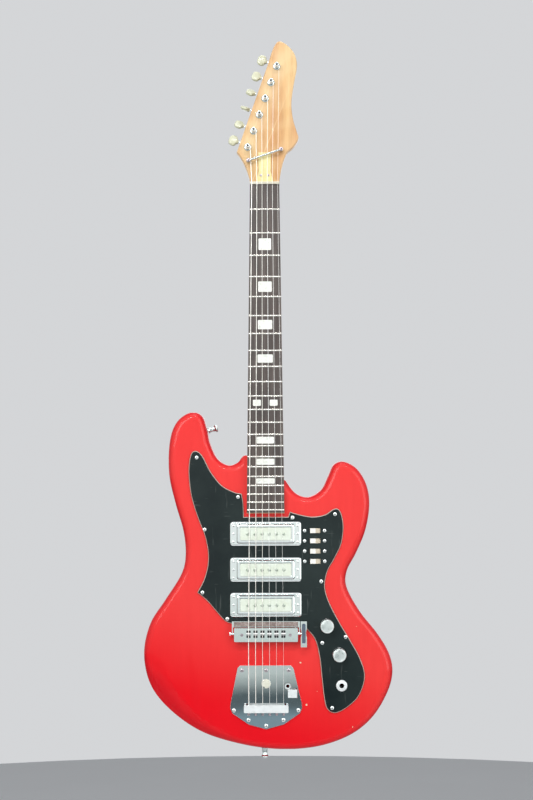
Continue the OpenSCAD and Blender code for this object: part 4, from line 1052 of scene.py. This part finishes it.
def string_path(k):
    d, xs = STRING_D[k], saddle_boxes[k].mid.x
    xn = (k - 2.5) * 36 / 5
    p = posts[k]
    x_end = p.x + POST_R + d / 2
    lean_in = (x_end - xn) / p.z
    z_bar = (retainer[0][1] + (xn - retainer[0][0]) * rise) / (1 - lean_in * rise)
    stop = math.sqrt((POST_R + d + 0.3) ** 2 - (POST_R + d / 2) ** 2) + 0.3
    top = saddle_boxes[k].lo.y - d / 2
    y_nut = nut_seat + crown(xn) - d / 2
    y_bar = RETAINER_Y + RETAINER_R + d / 2 + 0.1
    points = [(xs, -2.0, bar_mid_z - 6), (xs, -2.0, bar_mid_z + 2), (xs, -2.0, bar_mid_z + 8)]
    points += [(xs, top + 0.25, saddle_z - 8), (xs, top + 0.04, saddle_z - 2), (xs, top, saddle_z)]
    a = Vector((xs, top, saddle_z))
    b = Vector((xn, y_nut, 0.3))
    points += [tuple(a.lerp(b, t / 12)) for t in range(1, 13)]
    c = Vector((xn + (x_end - xn) * z_bar / p.z, y_bar, z_bar))
    e = Vector((x_end, WRAP_Y, p.z - stop))
    points += [tuple(b.lerp(c, 0.12)), tuple(b.lerp(c, 0.9)), tuple(c), tuple(c.lerp(e, 0.2)), tuple(e)]
    return points


def straighten(points):
    """The run from the bar up to the saddle is straight, so its two middle points are put on that line."""
    a, b = Vector(points[2]), Vector(points[5])
    points[3] = tuple(a.lerp(b, 0.92))
    points[4] = tuple(a.lerp(b, 0.98))
    return points


BALL = [(0, -1.5), (1.2, -1.5), (1.9, -1.2), (1.9, -0.5), (1.3, 0), (1.9, 0.5), (1.9, 1.2), (1.2, 1.5),
        (0, 1.5)]
for k in range(6):
    path = straighten(string_path(k))
    shape = tube(path, STRING_D[k] / 2, 12)
    shape.join(lathe(BALL, 20), Matrix.Translation((path[0][0], -2.0, path[0][2] - 1.0)), 1)
    o = piece(f"string_{k + 1}", shape, [M[STRING_KIND[k]], M["screw_dull"]], nodes="strings",
              ride=False)
    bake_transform(o)

# ---------------------------------------------------------------- tuners
bushing_boxes = solids("post_bushings")
ferrules = Shape()
for p in posts:
    near = min(bushing_boxes, key=lambda b: (b.mid - p).length)
    flange = near.size.x / 2
    y0 = near.lo.y
    foot = board_t - y0 - 16
    ferrules.join(lathe([(POST_R + 0.08, foot), (4.2, foot), (4.2, -1.75), (flange, -1.7), (flange, -1.35),
                         (flange - 0.15, -0.95), (flange - 0.7, -0.35), (flange - 1.4, -0.03),
                         (POST_R + 0.5, 0), (POST_R + 0.08, -0.35)], 48, loop=True), front(p.x, y0, p.z))
piece("tuner_ferrules", ferrules, M["plated"], nodes="post_bushings")

post_top = box("tuner_post_1").lo.y
TEETH, WRAP_STEPS = 14, 32


def toothed(a, r, z):
    """The gear's radius: deeper than 4 mm from the axis it has teeth."""
    return r * (1 - 0.055 * (0.5 + 0.5 * math.tanh(3 * math.cos(TEETH * a)))) if r > 4 else r


for k, p in enumerate(posts):
    b = box(f"tuner_post_{k + 1}")
    low, gear_y = b.hi.y - post_top, b.hi.y - 3.4 - post_top
    # the post's top hole is painted near-black as shade
    shape = lathe([(0, -2.0), (0.95, -2.0), (1.1, -1.7), (1.15, -0.35), (1.45, -0.06), (2.3, 0), (2.75, -0.12),
                   (3.0, -0.45), (3.0, -3.4), (2.72, -4.0), (2.66, -5.6), (2.72, -7.9), (3.0, -8.5),
                   (3.0, -gear_y), (0, -gear_y)], 40, [1, 1, 1] + [0] * 11)
    shape.join(lathe([(0, -gear_y + 0.02), (3.7, -gear_y + 0.02), (4.15, -gear_y - 0.3), (4.15, -low + 0.3),
                      (3.7, -low), (2.2, -low), (2.0, -low + 0.3), (0, -low + 0.3)], 112, 0, wave=toothed))
    at = front(p.x, post_top, p.z)
    piece(f"tuner_shaft_{k + 1}", Shape().join(shape, at), [M["chrome"], M["recess"]], f"post_{k + 1}",
          f"tuner_post_{k + 1}")
    d = STRING_D[k]
    turns = 3.0 if d > 0.6 else 4.0
    r, start = POST_R - 0.3 + d / 2, -(WRAP_Y - post_top) - (turns / 2) * d
    coil = [(r * math.cos(math.tau * t / WRAP_STEPS), r * math.sin(math.tau * t / WRAP_STEPS),
             start + d * t / WRAP_STEPS) for t in range(int(turns * WRAP_STEPS) + 1)]
    piece(f"string_wrap_{k + 1}", tube([at @ Vector(q) for q in coil], d / 2, 10), M[STRING_KIND[k]],
          f"post_{k + 1}", f"tuner_post_{k + 1}")

# a key's button: distance out along the key, half width and half thickness
BUTTON = [(0, 2.4, 2.4), (0.6, 2.7, 2.7), (1.6, 3.2, 2.9), (2.4, 4.2, 2.95), (3.2, 6.0, 2.98), (4.2, 7.1, 3.0),
          (6, 7.65, 2.95), (8, 7.75, 2.9), (10, 7.5, 2.8), (11.5, 6.8, 2.65), (12.8, 5.6, 2.3), (13.6, 4.2, 1.7),
          (13.95, 2.4, 0.9)]
KEY_TURNS = [10, 40, 80, 50, 20, 5]  # how far each key was left turned, in degrees
WORM_STEPS, WORM_SIDES, WORM_PITCH = 96, 24, 1.8
for k, (spot, axis) in enumerate(keys):
    seat = Matrix.Translation(spot) @ Matrix((lean, Vector((0, 1, 0)), axis)).transposed().to_4x4()
    worm = []
    for step in range(WORM_STEPS + 1):
        h = -5 + 10 * step / WORM_STEPS
        ring = []
        for i in range(WORM_SIDES):
            a = math.tau * i / WORM_SIDES
            r = 1.45 + 0.33 * math.cos(math.tau * h / WORM_PITCH - a)
            ring.append((r * math.cos(a), r * math.sin(a), h))
        worm.append(ring)
    shape = loft(worm)
    shape.join(tube([(0, 0, h) for h in (-8, -7.7, 17, 23)], [1.2, 1.5, 1.5, 1.5], 24))
    shape.join(lathe([(1.5, 6.95), (2.6, 6.95), (2.75, 7.2), (2.75, 8.2), (2.5, 8.5), (1.5, 8.5)], 24,
                     loop=True))
    piece(f"tuner_worm_{k + 1}", Shape().join(shape, seat), M["chrome"], f"key_{k + 1}", f"tuner_key_{k + 1}")
    rings = []
    for h, w, t in BUTTON:
        power = 2.0 + 0.9 * smooth_step(1.5, 5, h)
        angles = [math.tau * i / 40 for i in range(40)]
        rings.append([(squared(math.cos(a), 2 / power) * w, squared(math.sin(a), 2 / power) * t, h)
                      for a in angles])
    at = seat @ Matrix.Translation((0, 0, 16.5)) @ Matrix.Rotation(math.radians(KEY_TURNS[k]), 4, "Z")
    piece(f"tuner_button_{k + 1}", Shape().join(loft(rings), at), M["button"], f"key_{k + 1}",
          f"tuner_key_{k + 1}", crease=55)

rounded("tuner_plate", "tuner_strip", 0.3, "chrome")
screws("tuner_screws", CROSS, "tuner_plate_screws", [M["screw"], M["slot"]], to_back=True)

# ---------------------------------------------------------------- headstock trim
rounded("rod_cover", "truss_rod_cover", 0.35, "cover_cream", 3)
rounded("retainer_bar", "string_retainer", 0.25, "plated", crease=30)
screws("headstock_screws", CROSS, "headstock_trim_screws", [M["screw_dull"], M["recess"]])

# ---------------------------------------------------------------- pickguard
guard_outline = []
for run in GUARD:
    guard_outline += smooth_run(run, 6)
guard = plate(guard_outline, [(0.95, guard_y), (0.1, guard_y + 0.95), (0, guard_y + 1.2), (0, guard_box.hi.y)],
              [1, 1, 0], first_cap=0)
cover_box = sorted(solids("pickup_covers"), key=lambda b: -b.mid.z)
rocker_boxes = [box(f"rocker_{k}") for k in range(1, 5)]
through = (guard_y - 1, face_y + 1)
windows = Shape()
for b in cover_box:
    windows.join(block(b.mid.x, b.mid.z, b.size.x + 1.5, b.size.z + 1.5, *through))
for b in rocker_boxes:
    windows.join(block(b.mid.x, b.mid.z, 16.9, 7.2, *through))
for boxes, r, steps in ((pots + [jack_box], 4.8, 40), (solids("pickguard_screws"), 1.6, 16),
                        (solids("ring_screws") + solids("switch_screws"), 1.28, 14)):
    for b in boxes:
        windows.join(peg(b.mid.x, b.mid.z, r, *through, steps))
piece("pickguard_sheet", cut(guard, windows), [M["guard"], M["guard_edge"]], nodes="pickguard",
      crease=30)
screws("pickguard_screws", CROSS, "guard_fixing_screws", [M["screw"], M["slot"]])

# ---------------------------------------------------------------- pickups
rings_shape, covers, inserts, coils = Shape(), Shape(), Shape(), Shape()
coil_boxes = sorted(solids("pickup_coils"), key=lambda b: -b.mid.z)
for ring_b, cover_b, coil_b in zip(pickups, cover_box, coil_boxes):
    z = ring_b.mid.z
    y0, y1, top = ring_b.lo.y, ring_b.hi.y, cover_b.lo.y
    cover_w, cover_h = cover_b.size.x, cover_b.size.z
    outer = round_rect(0, z, ring_b.size.x, ring_b.size.z, 4, 7)
    inner = round_rect(0, z, cover_w + 1.0, cover_h + 1.0, 2.8, 7)
    rings_shape.join(loft(
        rows_of(outer, ((0, y1), (0, y0 + 1.4), (0.3, y0 + 0.9), (1.5, y0 + 0.12), (2.0, y0)))
        + rows_of(inner, ((-0.5, y0), (-0.1, y0 + 0.15), (0, y0 + 0.5), (0, y1))), loop=True))
    # the cover: walls down through the guard, a rolled front edge and a flange round the insert
    outer = round_rect(0, z, cover_w, cover_h, 2.5, 7)
    inner = round_rect(0, z, 70, 17.5, 1.6, 7)
    hollow = round_rect(0, z, cover_w - 2, cover_h - 2, 1.5, 7)
    lip = round_rect(0, z, 73.4, 20.9, 1.6, 7)
    covers.join(loft(
        rows_of(outer, ((0, cover_b.hi.y), (0, top + 1.6), (0.12, top + 0.9), (0.5, top + 0.32),
                        (1.1, top + 0.04), (1.7, top)))
        + rows_of(inner, ((-0.55, top), (-0.15, top + 0.12), (0, top + 0.5), (0, top + 1.0)))
        + rows_of(lip, [(0, top + 1.0)])
        + rows_of(hollow, ((0, top + 1.0), (0, cover_b.hi.y))), loop=True))
    face = plate(round_rect(0, z, 69.8, 17.3, 1.5, 7), rim(top - 0.2, top + 2.2, 0.35, 3, 0))
    flange_part = plate(round_rect(0, z, 73, 20.5, 1.5, 7), [(0, top + 1.02), (0, top + 2.2)])
    inserts.join(cut(face, flange_part, how="UNION"))
    # the winding, with a ridge for every other layer between the bobbin's two flanges
    y0, y1 = coil_b.lo.y, coil_b.hi.y
    coils.join(plate(round_rect(0, z, coil_b.size.x, coil_b.size.z, 7, 7),
                     [(1.2, y0), (0, y0 + 0.2), (0, y0 + 1.2), (1.4, y0 + 1.4)]
                     + [(1.4 - 0.25 * (k % 2), y0 + 1.4 + (coil_b.size.y - 2.8) * k / 30) for k in range(1, 30)]
                     + [(1.4, y1 - 1.4), (0, y1 - 1.2), (0, y1 - 0.1), (0.3, y1)]))
piece("pickup_frames", rings_shape, M["chrome"], nodes="pickup_rings", crease=25)
piece("pickup_shells", covers, M["chrome"], nodes="pickup_covers", crease=25)


def pole_bores(y0, y1, steps):
    bores = Shape()
    for b in solids("pole_screws"):
        bores.join(peg(b.mid.x, b.mid.z, 1.7, y0, y1, steps))
    return bores


bores = pole_bores(cover_box[0].lo.y - 3, cover_box[0].lo.y + 4, 18)
piece("pickup_faces", cut(inserts, bores), M["insert"], nodes="pickup_inserts", crease=30)
bores = pole_bores(coil_boxes[0].lo.y - 1, coil_boxes[0].hi.y + 1, 16)
piece("pickup_windings", cut(coils, bores), M["coil"], nodes="pickup_coils")
screws("pole_screws", SLOT, "pickup_pole_screws", [M["pole"], M["pole_slot_painted_shade"]], tall=0.5)
screws("ring_screws", CROSS, "pickup_frame_screws", [M["screw"], M["slot"]])

# ---------------------------------------------------------------- rocker switches
for k, b in enumerate(rocker_boxes):
    shape = soften(cad(f"rocker_{k + 1}"), 0.4, 3, 30)
    # painted shade: the cap's right part takes a shaded copy of its white, and faces more than 6.4 mm from its middle
    # are painted near-black
    shade_start = b.lo.x + 0.63 * b.size.x
    shape.painted(lambda c, n, m: 2 if abs(c.x - b.mid.x) > 6.4 else 1 if c.x > shade_start else 0)
    piece(f"rocker_cap_{k + 1}", shape, [M["rocker"], M["rocker_shaded_half"], M["recess"]], f"switch_{k + 1}",
          f"rocker_{k + 1}")
rounded("switch_boxes", "switch_housings", 0.4, "housing")
screws("switch_screws", CROSS, "switch_fixing_screws", [M["screw"], M["slot"]])

# ---------------------------------------------------------------- knobs, controls and jack
for name in ("volume", "tone"):
    spot, _ = joint(f"{name}_turn")
    b = box(f"{name}_knob")
    r, y_top, y_foot, y_end = b.size.x / 2, b.lo.y, 4.6, b.hi.y
    high = y_foot - y_top
    profile = [(3.05, -high), (r - 0.5, -high), (r, -high + 0.5), (r, -high + 1.4)]
    profile += [(r - 0.18, -high + 1.6), (r - 0.18, -high + 2.0), (r, -high + 2.2)]
    profile += [(r - 0.02 * k, -high + 2.2 + (high - 4.0) * k / 8) for k in range(1, 9)]
    profile += [(r - 0.12, -1.5), (r - 0.2, -0.6), (r - 0.32, -0.22), (r - 0.6, -0.04), (r - 0.9, 0)]
    profile += [(r - 1.6, -0.02), (r - 1.9, -0.14), (r - 2.2, -0.14), (r - 2.5, -0.03)]
    profile += [(r - 3.2 - 0.8 * k, -0.03 - 0.03 * (k % 2)) for k in range(7)] + [(0, -0.05)]
    shape = lathe([(0, -high + 8)] + [(3.05, -high + 8)] + profile, 144, [0] * 18 + [1] * 30,
                  wave=lambda a, rad, z: rad - 0.22 * (0.5 + 0.5 * math.cos(36 * a))
                  if rad > r - 0.25 and -high + 2.1 < z < -1.6 else rad)
    shape = Shape().join(shape, front(spot.x, y_top, spot.z))
    shape.join(tube([(spot.x, y, spot.z) for y in (y_end, y_end - 0.3, y_foot - 8 + 0.1)], [2.7, 3.0, 3.0], 24))
    notch = plate(round_rect(spot.x, spot.z + r - 3.2, 0.9, 3.6, 0.4, 3), [(0, y_top - 1), (0, y_top + 0.45)])
    piece(f"{name}_dial", cut(shape, notch), [M["knob"], M["knob_top"]], name, f"{name}_knob",
          crease=40)
rounded("pot_cases", "potentiometers", 0.5, "steel")

r, y0 = jack_box.size.x / 2 - 0.25, jack_box.lo.y
# the socket's bore is painted near-black as shade
jack = lathe([(3.25, -4.9), (3.25, -0.35), (3.55, -0.05), (4.6, 0.0), (4.75, -0.05), (4.9, -0.45), (6.6, -0.55),
              (7.1, -0.7), (7.6, -1.3), (r, -2.0), (r, -2.4), (4.75, -2.4), (4.75, -4.9)], 64,
             [1] + [0] * 12, loop=True)
jack.join(lathe([(3.25, -4.9), (7.7, -4.9), (8.0, -5.2), (8.0, -15.6), (7.7, -15.9), (3.25, -15.9)], 48,
                [0] * 5 + [1], loop=True))
jack = Shape().join(jack, front(jack_box.mid.x, y0, jack_box.mid.z))
for side in (-1, 1):
    leaf = block(jack_box.mid.x, jack_box.mid.z + side * 4.6, 4.6, 0.7, y0 + 15.8, y0 + 26.6)
    tip = block(jack_box.mid.x, jack_box.mid.z + side * 4.2, 4.6, 1.4, y0 + 24.8, y0 + 25.6)
    jack.join(cut(leaf, tip, how="UNION"))
piece("jack_socket", jack, [M["bar"], M["recess"]], nodes="output_jack")
rounded("wire_loom", "wiring", 0.05, "wire", 1, 80, crease=60)

# ---------------------------------------------------------------- bridge and mute
rounded("bridge_plate", "bridge_base", 0.45, "chrome", 3, crease=30)
base = box("bridge_base")
# a dark sheet under the bridge plate, so the slots show painted shadow instead of the body below
shadow_bed = plate(round_rect(0, base.mid.z, 56, base.size.z - 3.6, 1, 4),
            [(0.2, base.lo.y + 1.62), (0, base.lo.y + 1.8), (0, base.lo.y + 2.2)])
piece("saddle_shadow_bed", shadow_bed, M["painted_shadow_steel"], nodes="bridge_base")
rounded("bridge_stands", "bridge_posts", 0.3, "screw_dull")
rounded("saddle_ridges", "saddles", 0.25, "steel", 3)
lever = box("mute_lever")
# the lever's face is sunk a little and painted with a dark reflection, leaving a bright chrome rim
reflection_dent = plate(round_rect(lever.hi.x - 4.2, lever.lo.z + 18.5, 5.0, 27, 1.8, 4),
             [(0, lever.lo.y - 1), (0, lever.lo.y), (0.6, lever.lo.y + 0.5)], 1)
arm = cut(soften(cad("mute_lever"), 0.5, 3), reflection_dent)
piece("mute_arm", arm, [M["chrome"], M["dark_reflection"]], "mute", "mute_lever", crease=30)
pad = box("mute_pad")
rows, count = [], 72
for k in range(count + 1):
    x = pad.lo.x + 0.2 + (pad.size.x - 0.4) * k / count
    ragged = 0.18 * math.sin(2.3 * k) + 0.14 * math.sin(5.1 * k + 1)
    hz, hy = pad.size.z / 2 - 0.3 + ragged * 0.8, pad.size.y / 2 - 0.15
    row = []
    for i in range(20):
        a = math.tau * i / 20
        bump = min(1.0, 1 + 0.05 * math.sin(3.7 * k + 2.2 * i) + 0.04 * math.sin(1.9 * k - 3.1 * i))
        row.append((x, pad.mid.y + squared(math.cos(a), 0.45) * hy * bump,
                    pad.mid.z + squared(math.sin(a), 0.45) * hz * bump))
    rows.append(row)
piece("mute_strip", loft(rows), M["felt"], "mute", "mute_pad", crease=70)

# ---------------------------------------------------------------- vibrato
dome_z, DOME_R, DOME_SEAT = -689, 4.7, 9
cover = soften(cad("vibrato_plate"), 0.9, 3, 35)


def cover_part(c, n, m):
    """The cover's face is 0, its dome is 1 and its rounded rim is 2, painted with the brighter satin plating as a
    painted highlight.
    """
    from_dome = math.hypot(c.x, c.z - dome_z)
    if from_dome < DOME_R:
        return 1
    return 2 if from_dome > DOME_SEAT and 0.1 < -n.y < 0.98 else 0


cover.painted(cover_part)
piece("vibrato_cover", cover, [M["mirror"], M["dome"], M["bar"]], nodes="vibrato_plate",
      crease=30)
screws("vibrato_screws", CROSS, "vibrato_fixing_screws", [M["screw"], M["slot"], M["screw_dull"]],
       rule=lambda c, n, m: 2 if m == 0 and c.z > dome_z else m)
rounded("vibrato_bar", "string_bar", 0.7, "bar", 3, body="vibrato", crease=30)
rounded("vibrato_pin", "vibrato_axle", 0.4, "steel")
COIL_TURNS, COIL_STEPS = 8, 24
for k, b in enumerate(sorted(solids("vibrato_springs"), key=lambda b: b.mid.x)):
    r = b.size.x / 2 - 0.6
    coil = []
    for step in range(COIL_TURNS * COIL_STEPS + 1):
        t = step / (COIL_TURNS * COIL_STEPS)
        a = math.tau * COIL_TURNS * t
        coil.append((b.mid.x + r * math.cos(a), b.lo.y + 0.6 + (b.size.y - 1.2) * t, b.mid.z + r * math.sin(a)))
    o = piece(f"return_spring_{k + 1}", tube(coil, 0.6, 8), M["steel"], nodes="vibrato_springs",
              ride=False)
    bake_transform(o)

# ---------------------------------------------------------------- back plate, strap buttons, rod
rounded("neck_joint_plate", "neck_plate", 0.6, "chrome", 3)
screws("neck_screws", CROSS, "neck_joint_screws", [M["screw"], M["slot"]], to_back=True)
rounded("strap_pegs", "strap_buttons", 0.4, "plated", 3, 25, crease=35)
rounded("strap_peg_screws", "strap_screws", 0.4, "screw")
rounded("tension_rod", "truss_rod", 0.3, "steel")

# ---------------------------------------------------------------- floor, light and camera
# the vibrato's plate mirrors the world just past this floor's edge
FLOOR_R, FLOOR_Z = 6, -2.0
pale = Mat("studio_floor", (0.88, 0.89, 0.90), 0.8)
cloud = pale.noise(0.8, 3)
pale.color(pale.mix(pale.fit(cloud, 0.3, 0.7), (0.86, 0.87, 0.88), (0.92, 0.93, 0.94)))
pale.rough(pale.fit(cloud, 0.3, 0.7, 0.75, 0.9))
floor_mesh = bpy.data.meshes.new("studio_floor")
bm = bmesh.new()
bmesh.ops.create_circle(bm, cap_ends=True, radius=FLOOR_R, segments=96)
bm.to_mesh(floor_mesh)
bm.free()
floor_mesh.materials.append(pale.material)
floor = bpy.data.objects.new("studio_floor", floor_mesh)
floor.location = (0, 0, FLOOR_Z)
bpy.context.scene.collection.objects.link(floor)


def lamp(name, place, size, power, color=(1, 1, 1), target=(0, 0, -0.45)):
    data = bpy.data.lights.new(name, "AREA")
    data.shape, data.size, data.size_y = "RECTANGLE", size[0], size[1]
    data.energy, data.color, data.spread = power, color, math.pi
    o = bpy.data.objects.new(name, data)
    o.location = place
    o.rotation_euler = (Vector(target) - Vector(place)).to_track_quat("-Z", "Y").to_euler()
    bpy.context.scene.collection.objects.link(o)


lamp("key", (-1.4, -2.6, 0.6), (1.6, 1.6), 46, (1.0, 0.985, 0.97))
lamp("strip", (0, -1.7, 1.3), (2.2, 0.08), 22)
lamp("fill", (2.0, -2.0, 0.0), (1.6, 2.2), 30, (0.97, 0.985, 1.0))
lamp("top", (0.2, -0.3, 2.2), (1.8, 1.2), 16)
lamp("rear", (0.4, 2.6, 0.8), (2.4, 2.0), 14)

world = bpy.data.worlds.new("studio")
bpy.context.scene.world = world
world.use_nodes = True
wt = world.node_tree
wt.nodes.clear()


def world_node(kind, *inputs):
    """The outputs of a new world node; its inputs are (socket, value or another node's output)."""
    n = wt.nodes.new("ShaderNode" + kind)
    for socket, value in inputs:
        if isinstance(value, bpy.types.NodeSocket):
            wt.links.new(value, n.inputs[socket])
        else:
            n.inputs[socket].default_value = value
    return n.outputs


# metal mirrors a graded sky with dark and light bands, other rays meet an even one, and the camera a plain one
height = world_node("SeparateXYZ", (0, world_node("TexCoord")["Generated"]))[2]
lift = world_node("MapRange", (0, height), ("From Min", -1), ("From Max", 1))[0]
grade = world_node("ValToRGB", (0, lift))[0]
e = grade.node.color_ramp.elements
e[0].position, e[0].color = 0.0, (0.30, 0.31, 0.32, 1)
e[1].position, e[1].color = 1.0, (0.95, 0.97, 1.0, 1)
for at, shade in ((0.30, (0.28, 0.29, 0.30)), (0.4075, (0.24, 0.32, 0.36)), (0.4125, (0.20, 0.30, 0.35)),
                  (0.4170, (0.26, 0.36, 0.40)), (0.4178, (0.10, 0.13, 0.14)), (0.4252, (0.07, 0.10, 0.11)),
                  (0.4262, (0.52, 0.59, 0.57)), (0.4400, (0.58, 0.66, 0.64)), (0.4560, (0.84, 0.88, 0.87)),
                  (0.50, (0.95, 0.97, 0.97)), (0.62, (0.93, 0.95, 0.96))):
    e.new(at).color = (*shade, 1)
mirrored = world_node("Background", ("Color", grade), ("Strength", 1.0))[0]
even = world_node("Background", ("Color", (0.93, 0.96, 1.0, 1)), ("Strength", 0.30))[0]
plain = world_node("Background", ("Color", (0.66, 0.67, 0.685, 1)), ("Strength", 1.0))[0]
ray = world_node("LightPath")
seen = world_node("MixShader", (0, ray["Is Glossy Ray"]), (1, even), (2, mirrored))[0]
chosen = world_node("MixShader", (0, ray["Is Camera Ray"]), (1, seen), (2, plain))[0]
world_node("OutputWorld", ("Surface", chosen))

bpy.context.scene.view_settings.view_transform = "Standard"
camera = bpy.data.cameras.new("camera")
camera.lens, camera.sensor_width = 60, 36
camera.clip_start, camera.clip_end = 0.05, 60
view = bpy.data.objects.new("camera", camera)
view.location = (0.0017, -1.835, -0.4132)
LOOK_UP, ROLL = math.radians(93.494), math.radians(-0.176)
view.rotation_euler = (Matrix.Rotation(LOOK_UP, 3, "X") @ Matrix.Rotation(ROLL, 3, "Z")).to_euler()
bpy.context.scene.collection.objects.link(view)
bpy.context.scene.camera = view
